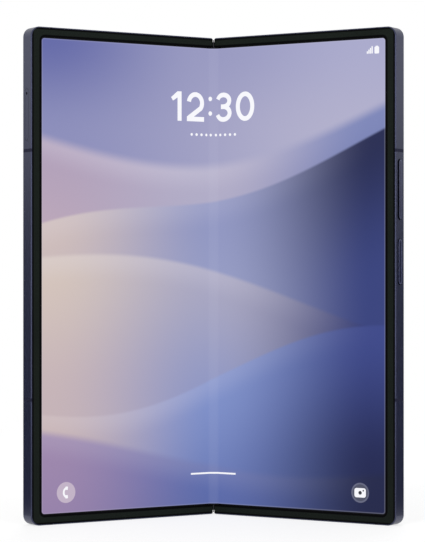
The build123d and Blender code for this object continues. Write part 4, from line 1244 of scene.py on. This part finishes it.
def lens_stack():
    shape = bmesh.new()
    uv = shape.loops.layers.uv.new("flat")
    low, high = WINDOWS_LOW.y, WINDOWS_HIGH.y
    shares = {}

    def point(share, rise, step):
        angle = 2 * math.pi * step / LENS_STEPS
        reach = share * LENS_RADIUS
        vertex = shape.verts.new((LENS_X + reach * math.cos(angle), low + rise * (high - low),
                                  LENS_LOW_Z + reach * math.sin(angle)))
        shares[vertex] = (share, step / LENS_STEPS)
        return vertex

    rings = [[point(share, rise, step) for step in range(LENS_STEPS)] for share, rise in LENS_PROFILE]
    top, foot = point(0, DOME_RISE, 0), point(0, 0.0, 0)
    for inner, outer in zip(rings, rings[1:]):
        for i in range(LENS_STEPS):
            j = (i + 1) % LENS_STEPS
            shape.faces.new((inner[i], inner[j], outer[j], outer[i]))
    for i in range(LENS_STEPS):
        j = (i + 1) % LENS_STEPS
        shape.faces.new((top, rings[0][j], rings[0][i]))
        shape.faces.new((foot, rings[-1][i], rings[-1][j]))
    for face in shape.faces:
        face.smooth = max(shares[vertex][0] for vertex in face.verts) < DOME_SHARE
        for loop in face.loops:
            loop[uv].uv = shares[loop.vert]
    return shape


print("lens radius", LENS_RADIUS, "pitch", LENS_PITCH)

# %% [markdown]
# Lens coatings show as faint rings of violet, blue and green, because each element mirrors another colour.
# Real glass elements with thin-film coatings would be slow to render for a disc of a few millimetres. The
# stack's UV map gives the distance from the axis, and soft steps of it mix the tones: dark violet in the
# middle, then blue, then green. The baffle steps are rough and black, and the rest shines under a clear
# coat. The rows group then repeats the stack up the island, from the lowest window to the highest.

# %% Lens coatings and the three stacks
BAFFLE_RADIANS = 60


def coated_lens():
    shader = Shader("lens_stack", Specular_IOR_Level=0.3, Coat_Roughness=0.03)
    share = shader.parts(shader.add("ShaderNodeUVMap", {"uv_map": "flat"}, {}))[0]
    element = shader.mix(share.smooth(0.0, 0.34), colour("100a26"), colour("1d2a4c"))
    element = shader.mix(share.smooth(0.3, 0.46), element, colour("0c2a2c"))
    steps = shader.mix((share * BAFFLE_RADIANS).sin().smooth(-0.4, 0.4), colour("060609"), colour("101116"))
    baffle = share.smooth(0.48, 0.5) * (1 - share.smooth(0.86, 0.88))
    shader.feed("Base Color", shader.mix(share.smooth(0.47, 0.5), element, steps))
    shader.feed("Roughness", 0.06 + 0.4 * baffle)
    shader.feed("Coat Weight", 1 - baffle)
    return shader.material


lens_glass = coated_lens()
stacks = in_rows(lens_stack(), lens_glass, rows=LENS_COUNT, row_step=(0, 0, LENS_PITCH))
stacks_piece = on_half("lens_stacks", stacks, lens_glass, "right_half")
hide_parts("camera_lens_windows")
print("lens stacks", LENS_COUNT, "faces", len(stacks_piece.data.polygons))

# %% [markdown]
# The charging socket's tongue has a row of flat gold contacts on each face. They stand out by a fiftieth of
# a millimetre, too little for the CAD solid, but without them the socket is an empty slot. A stripe pattern
# on the tongue could stand in for them. As thin bars with broken edges they catch the light like the real
# ones.

# %% The socket's contacts
PORT_LOW, PORT_HIGH = flat_box("usb_c_port")
CONTACT_COUNT, CONTACT_PITCH, CONTACT_WIDTH = 12, 0.5 * MM, 0.27 * MM
CONTACT_START, CONTACT_LENGTH = 2.4 * MM, 4.0 * MM
TONGUE_THICKNESS, CONTACT_PROUD = 0.7 * MM, 0.02 * MM
EDGE_SHARE = 0.3


def bar(low, high):
    """A bar between two corners of the flat phone, its edges broken."""
    shape = bmesh.new()
    bmesh.ops.create_cube(shape, size=1)
    for vertex in shape.verts:
        vertex.co = [(l + h) / 2 + c * (h - l) for l, h, c in zip(low, high, vertex.co)]
    narrow = min(h - l for l, h in zip(low, high))
    bmesh.ops.bevel(shape, geom=shape.edges[:], offset=EDGE_SHARE * narrow, segments=1, affect="EDGES")
    return shape


def contacts():
    middle_x, middle_y = (PORT_LOW.x + PORT_HIGH.x) / 2, (PORT_LOW.y + PORT_HIGH.y) / 2
    first = middle_x - CONTACT_PITCH * (CONTACT_COUNT - 1) / 2
    front = middle_y - TONGUE_THICKNESS / 2 - CONTACT_PROUD
    unit = bar((first - CONTACT_WIDTH / 2, front, CONTACT_START),
               (first + CONTACT_WIDTH / 2, front + 2 * CONTACT_PROUD, CONTACT_START + CONTACT_LENGTH))
    return in_rows(unit, contact_gold, CONTACT_COUNT, (CONTACT_PITCH, 0, 0), 2, (0, TONGUE_THICKNESS, 0))


on_half("socket_contacts", contacts(), contact_gold, "right_half")
print("contacts", 2 * CONTACT_COUNT)

# %% [markdown]
# Behind the sound slots in both halves a strip of woven wire keeps dust out. A transparent grid texture is
# the usual way, but here the strip is looked at through slots from close by, and a mesh needs no
# transparency. Short wires go one way and long ones the other, in two layers that touch, which at this size
# looks woven.

# %% The gauze behind the sound slots
SPEAKER_LOW, SPEAKER_HIGH = flat_box("loudspeaker")
SPEAKER_MARGIN, GAUZE_MARGIN = 3.1 * MM, 2.2 * MM
GAUZE_LEFT = SPEAKER_LOW.x + SPEAKER_MARGIN - GAUZE_MARGIN
GAUZE_RIGHT = SPEAKER_HIGH.x - SPEAKER_MARGIN + GAUZE_MARGIN
GAUZE_DEPTH, GAUZE_HALF = (PORT_LOW.y + PORT_HIGH.y) / 2, 0.75 * MM
WIRE, MESH_PITCH = 0.08 * MM, 0.25 * MM
GAUZE_GAP = 0.2 * WIRE


def gauze(side, foot):
    """A strip of woven wire across the sound slots, standing on a height of the flat phone."""
    left, right = sorted((side * GAUZE_LEFT, side * GAUZE_RIGHT))
    front, back = GAUZE_DEPTH - GAUZE_HALF, GAUZE_DEPTH + GAUZE_HALF
    short = bar((left, front, foot), (left + WIRE, back, foot + WIRE))
    long = bar((left, front, foot + WIRE), (right, front + WIRE, foot + 2 * WIRE))
    short_count = int((right - left - WIRE) / MESH_PITCH) + 1
    long_count = int((back - front - WIRE) / MESH_PITCH) + 1
    return joined([in_rows(short, gauze_steel, short_count, (MESH_PITCH, 0, 0)),
                   in_rows(long, gauze_steel, rows=long_count, row_step=(0, MESH_PITCH, 0))])


WALL_END = SPEAKER_LOW.z
BOTTOM_FOOT = WALL_END - 2 * WIRE - GAUZE_GAP
TOP_FOOT = HEIGHT - WALL_END + GAUZE_GAP
on_half("bottom_gauze", gauze(1, BOTTOM_FOOT), gauze_steel, "right_half")
on_half("top_gauze", gauze(-1, TOP_FOOT), gauze_steel, "left_half")
print("gauze", GAUZE_RIGHT - GAUZE_LEFT, "long at", BOTTOM_FOOT, TOP_FOOT)

# %% [markdown]
# The camera stands level with the middle of the phone, as in the photograph. How far the upper and lower
# edges of the two halves slant there gives its distance, and the phone's height in pixels then gives its
# lens. The camera could be aimed a little aside to put the phone at the photograph's place, but then
# upright edges would lean. A lens shift moves the picture and leaves them upright.

# %% Camera
PHOTO_LONG_SIDE, PHOTO_SHORT_SIDE = 542, 425
FOCAL_PIXELS = 2197
SHIFT_PIXELS = (-1.0, 5.05)
CAMERA_DISTANCE = 708 * MM
SENSOR = 36
camera_data = bpy.data.cameras.new("photo_camera")
camera_data.sensor_width = SENSOR
camera_data.lens = FOCAL_PIXELS * SENSOR / PHOTO_LONG_SIDE
camera_data.shift_x, camera_data.shift_y = [pixels / PHOTO_LONG_SIDE for pixels in SHIFT_PIXELS]
camera_data.clip_start, camera_data.clip_end = 0.01, 20
camera = bpy.data.objects.new("photo_camera", camera_data)
camera.location = (0, RIM_Y - CAMERA_DISTANCE, HEIGHT / 2)
camera.rotation_euler = (math.pi / 2, 0, 0)
bpy.context.scene.collection.objects.link(camera)
bpy.context.scene.camera = camera
print("lens", camera_data.lens, "mm, camera at", camera.location)

# %% [markdown]
# The phone is lit like a product in a studio. Three soft lamps light the colours. They show in no mirror,
# because their glare would wash out the edges of the metal. Two tall strips stand in front, one to each
# side, and these are mirrored: they draw a thin light along the rims. One bright panorama image could light
# all this at once, but lamps can be moved one by one.

# %% Lamps
MIDDLE = (0, 0, HEIGHT / 2)
STRIP_PLACE, STRIP_SIZE, STRIP_POWER = (0.42, -0.8, HEIGHT), (0.08, 0.5), 0.6


def lamp(name, place, size, power, mirrored=False):
    """A soft lamp that looks at the phone. Only a mirrored one shows in metal and glass."""
    data = bpy.data.lights.new(name, "AREA")
    data.shape = "RECTANGLE"
    data.size, data.size_y = size
    data.energy = power
    light = bpy.data.objects.new(name, data)
    light.location = place
    light.rotation_euler = (Vector(MIDDLE) - Vector(place)).to_track_quat("-Z", "Y").to_euler()
    light.visible_glossy = mirrored
    bpy.context.scene.collection.objects.link(light)


lamp("key_light", (-0.5, -0.7, 0.75), (0.5, 0.5), 6.0)
lamp("fill_light", (0.6, -0.6, 0.45), (0.5, 0.5), 4.0)
lamp("back_light", (0.1, 0.8, 0.6), (0.6, 0.4), 5.0)
for side, name in ((-1, "left_strip"), (1, "right_strip")):
    place = (side * STRIP_PLACE[0], *STRIP_PLACE[1:])
    lamp(name, place, STRIP_SIZE, STRIP_POWER, mirrored=True)

# %% [markdown]
# The photograph's background is plain white. A white wall would have to be lit until it clips, and that
# light would wash out the phone. Light Path tells what kind of ray is looking instead: the camera, mirrors
# and clear glass see pure white, and everything else gets the even, dimmer light that the world gives the
# colours.

# %% A white studio


class Backdrop:
    """Decides how much of a plain white a ray sees, in a world's or a material's tree."""

    def __init__(self, tree):
        self.tree = tree
        path = tree.nodes.new("ShaderNodeLightPath")
        self.seen = self.most(self.most(path.outputs["Is Camera Ray"], path.outputs["Is Glossy Ray"]),
                              path.outputs["Is Transmission Ray"])

    def most(self, first, second):
        node = self.tree.nodes.new("ShaderNodeMath")
        node.operation = "MAXIMUM"
        self.tree.links.new(first, node.inputs[0])
        self.tree.links.new(second, node.inputs[1])
        return node.outputs[0]

    def choose(self, factor, plain, white, output):
        choice = self.tree.nodes.new("ShaderNodeMixShader")
        self.tree.links.new(factor, choice.inputs[0])
        self.tree.links.new(plain, choice.inputs[1])
        self.tree.links.new(white, choice.inputs[2])
        self.tree.links.new(choice.outputs[0], output)


AMBIENT = 0.55
world = bpy.data.worlds.new("studio")
bpy.context.scene.world = world
world.use_nodes = True
air = Backdrop(world.node_tree)
plain = world.node_tree.nodes["Background"]
plain.inputs["Color"].default_value = (1, 1, 1, 1)
plain.inputs["Strength"].default_value = AMBIENT
white = world.node_tree.nodes.new("ShaderNodeBackground")
white.inputs["Color"].default_value = (1, 1, 1, 1)
air.choose(air.seen, plain.outputs[0], white.outputs[0], world.node_tree.nodes["World Output"].inputs[0])
print("world", world.name, "ambient", AMBIENT)

# %% [markdown]
# The floor is white to the camera far off, and close to the phone it keeps a little of its own shading,
# which is the phone's soft shadow. It could be a shadow catcher, but that needs a picture laid over another
# one afterwards. The same choice between rays does it here, with a share that grows with the distance from
# the phone.

# %% The floor
FLOOR_HALF = 3
SHADOW_END, WHITE_START, NEAR_WHITE = 0.12, 0.4, 0.7


def staged(name, shape, material):
    """A finished mesh that belongs to the stage and not to the phone."""
    mesh = bpy.data.meshes.new(name)
    shape.to_mesh(mesh)
    shape.free()
    piece = bpy.data.objects.new(name, mesh)
    bpy.context.scene.collection.objects.link(piece)
    dress(piece, material)
    return piece


def ground_white():
    shader = Shader("ground", Base_Color=(0.9, 0.9, 0.9, 1), Roughness=0.6, Specular_IOR_Level=0.1)
    x, y, _ = shader.parts(shader.here())
    far = x.reach(y).smooth(SHADOW_END, WHITE_START)
    sight = Backdrop(shader.tree)
    share = Value(shader, sight.seen) * (NEAR_WHITE + (1 - NEAR_WHITE) * far)
    glow = shader.add("ShaderNodeEmission", {}, {"Color": (1, 1, 1, 1), "Strength": 1.0})
    output = shader.tree.nodes["Material Output"].inputs[0]
    sight.choose(share.socket, shader.surface.outputs[0], glow.socket, output)
    return shader.material


floor_shape = bmesh.new()
bmesh.ops.create_grid(floor_shape, x_segments=1, y_segments=1, size=FLOOR_HALF)
floor = staged("floor", floor_shape, ground_white())
print("floor", floor.dimensions)

# %% [markdown]
# In the photograph the phone's outer sides are dark at the foot and bright at the top. Metal shows what
# stands round it, so no finish can do this: a studio puts up dark cards, called flags. One stands on each
# side, just out of the camera's view, and is seen by mirrors and clear glass alone, so it casts no shadow
# and dims no colour. A card's hard edge would show as a line in the polished outer glass, so its cloth
# fades to the backdrop's white on all sides.

# %% Flags beside the phone
FLAG_FAR, FLAG_TOP, FLAG_FOOT = 0.46, 0.16, 0.5 * MM
FLAG_FRONT, FLAG_BACK = -0.22, 0.53
FLAG_FADE, FLAG_NEAR_FADE, FLAG_TOP_FADE = 0.14, 0.02, 0.06
VIEW_SPREAD = PHOTO_SHORT_SIDE / 2 / FOCAL_PIXELS


def out_of_view(y):
    """How far to the side something must stand at a depth so that the camera misses it."""
    return (y - camera.location.y) * VIEW_SPREAD


def flag(name, side):
    """A dark card on the floor, bent up at its far end."""
    shape = bmesh.new()
    rows = []
    for y in (FLAG_FRONT, FLAG_BACK):
        bends = ((out_of_view(y), FLAG_FOOT), (FLAG_FAR, FLAG_FOOT), (FLAG_FAR, FLAG_TOP))
        rows.append([shape.verts.new((side * x, y, z)) for x, z in bends])
    front, back = rows
    for i in range(2):
        shape.faces.new((front[i], front[i + 1], back[i + 1], back[i]))
    card = staged(name, shape, flag_cloth)
    card.visible_camera = card.visible_diffuse = card.visible_shadow = False


def faded_cloth():
    """Grey cloth that turns to the backdrop's white towards its edges, so that no edge shows in a mirror."""
    shader = Shader("flag_cloth", Roughness=0.8, Specular_IOR_Level=0.0)
    x, y, z = shader.parts(shader.here())
    shader.feed("Base Color", shader.mix(shader.noise(40, 2), colour("5c6078"), colour("666a84")))
    across = (abs(x) - out_of_view(y)).smooth(0.0, FLAG_NEAR_FADE)
    along = y.smooth(FLAG_FRONT, FLAG_FRONT + FLAG_FADE) * (1 - y.smooth(FLAG_BACK - FLAG_FADE, FLAG_BACK))
    up = 1 - z.smooth(FLAG_TOP - FLAG_TOP_FADE, FLAG_TOP)
    white = shader.add("ShaderNodeEmission", {}, {"Color": (1, 1, 1, 1), "Strength": 1.0})
    faded = shader.add("ShaderNodeMixShader", {}, [1 - across * along * up])
    for place, surface in ((1, shader.surface.outputs[0]), (2, white.socket)):
        shader.tree.links.new(surface, faded.socket.node.inputs[place])
    shader.tree.links.new(faded.socket, shader.tree.nodes["Material Output"].inputs[0])
    return shader.material


flag_cloth = faded_cloth()
flag("flag_left", -1)
flag("flag_right", 1)
print("flags from", out_of_view(FLAG_FRONT), "to", FLAG_FAR)

# %% [markdown] Last come the picture's tones. The Standard view shows a colour about as it is written,
# where a film look would bend it.

# %% Colour view, and the end
bpy.context.scene.view_settings.view_transform = "Standard"
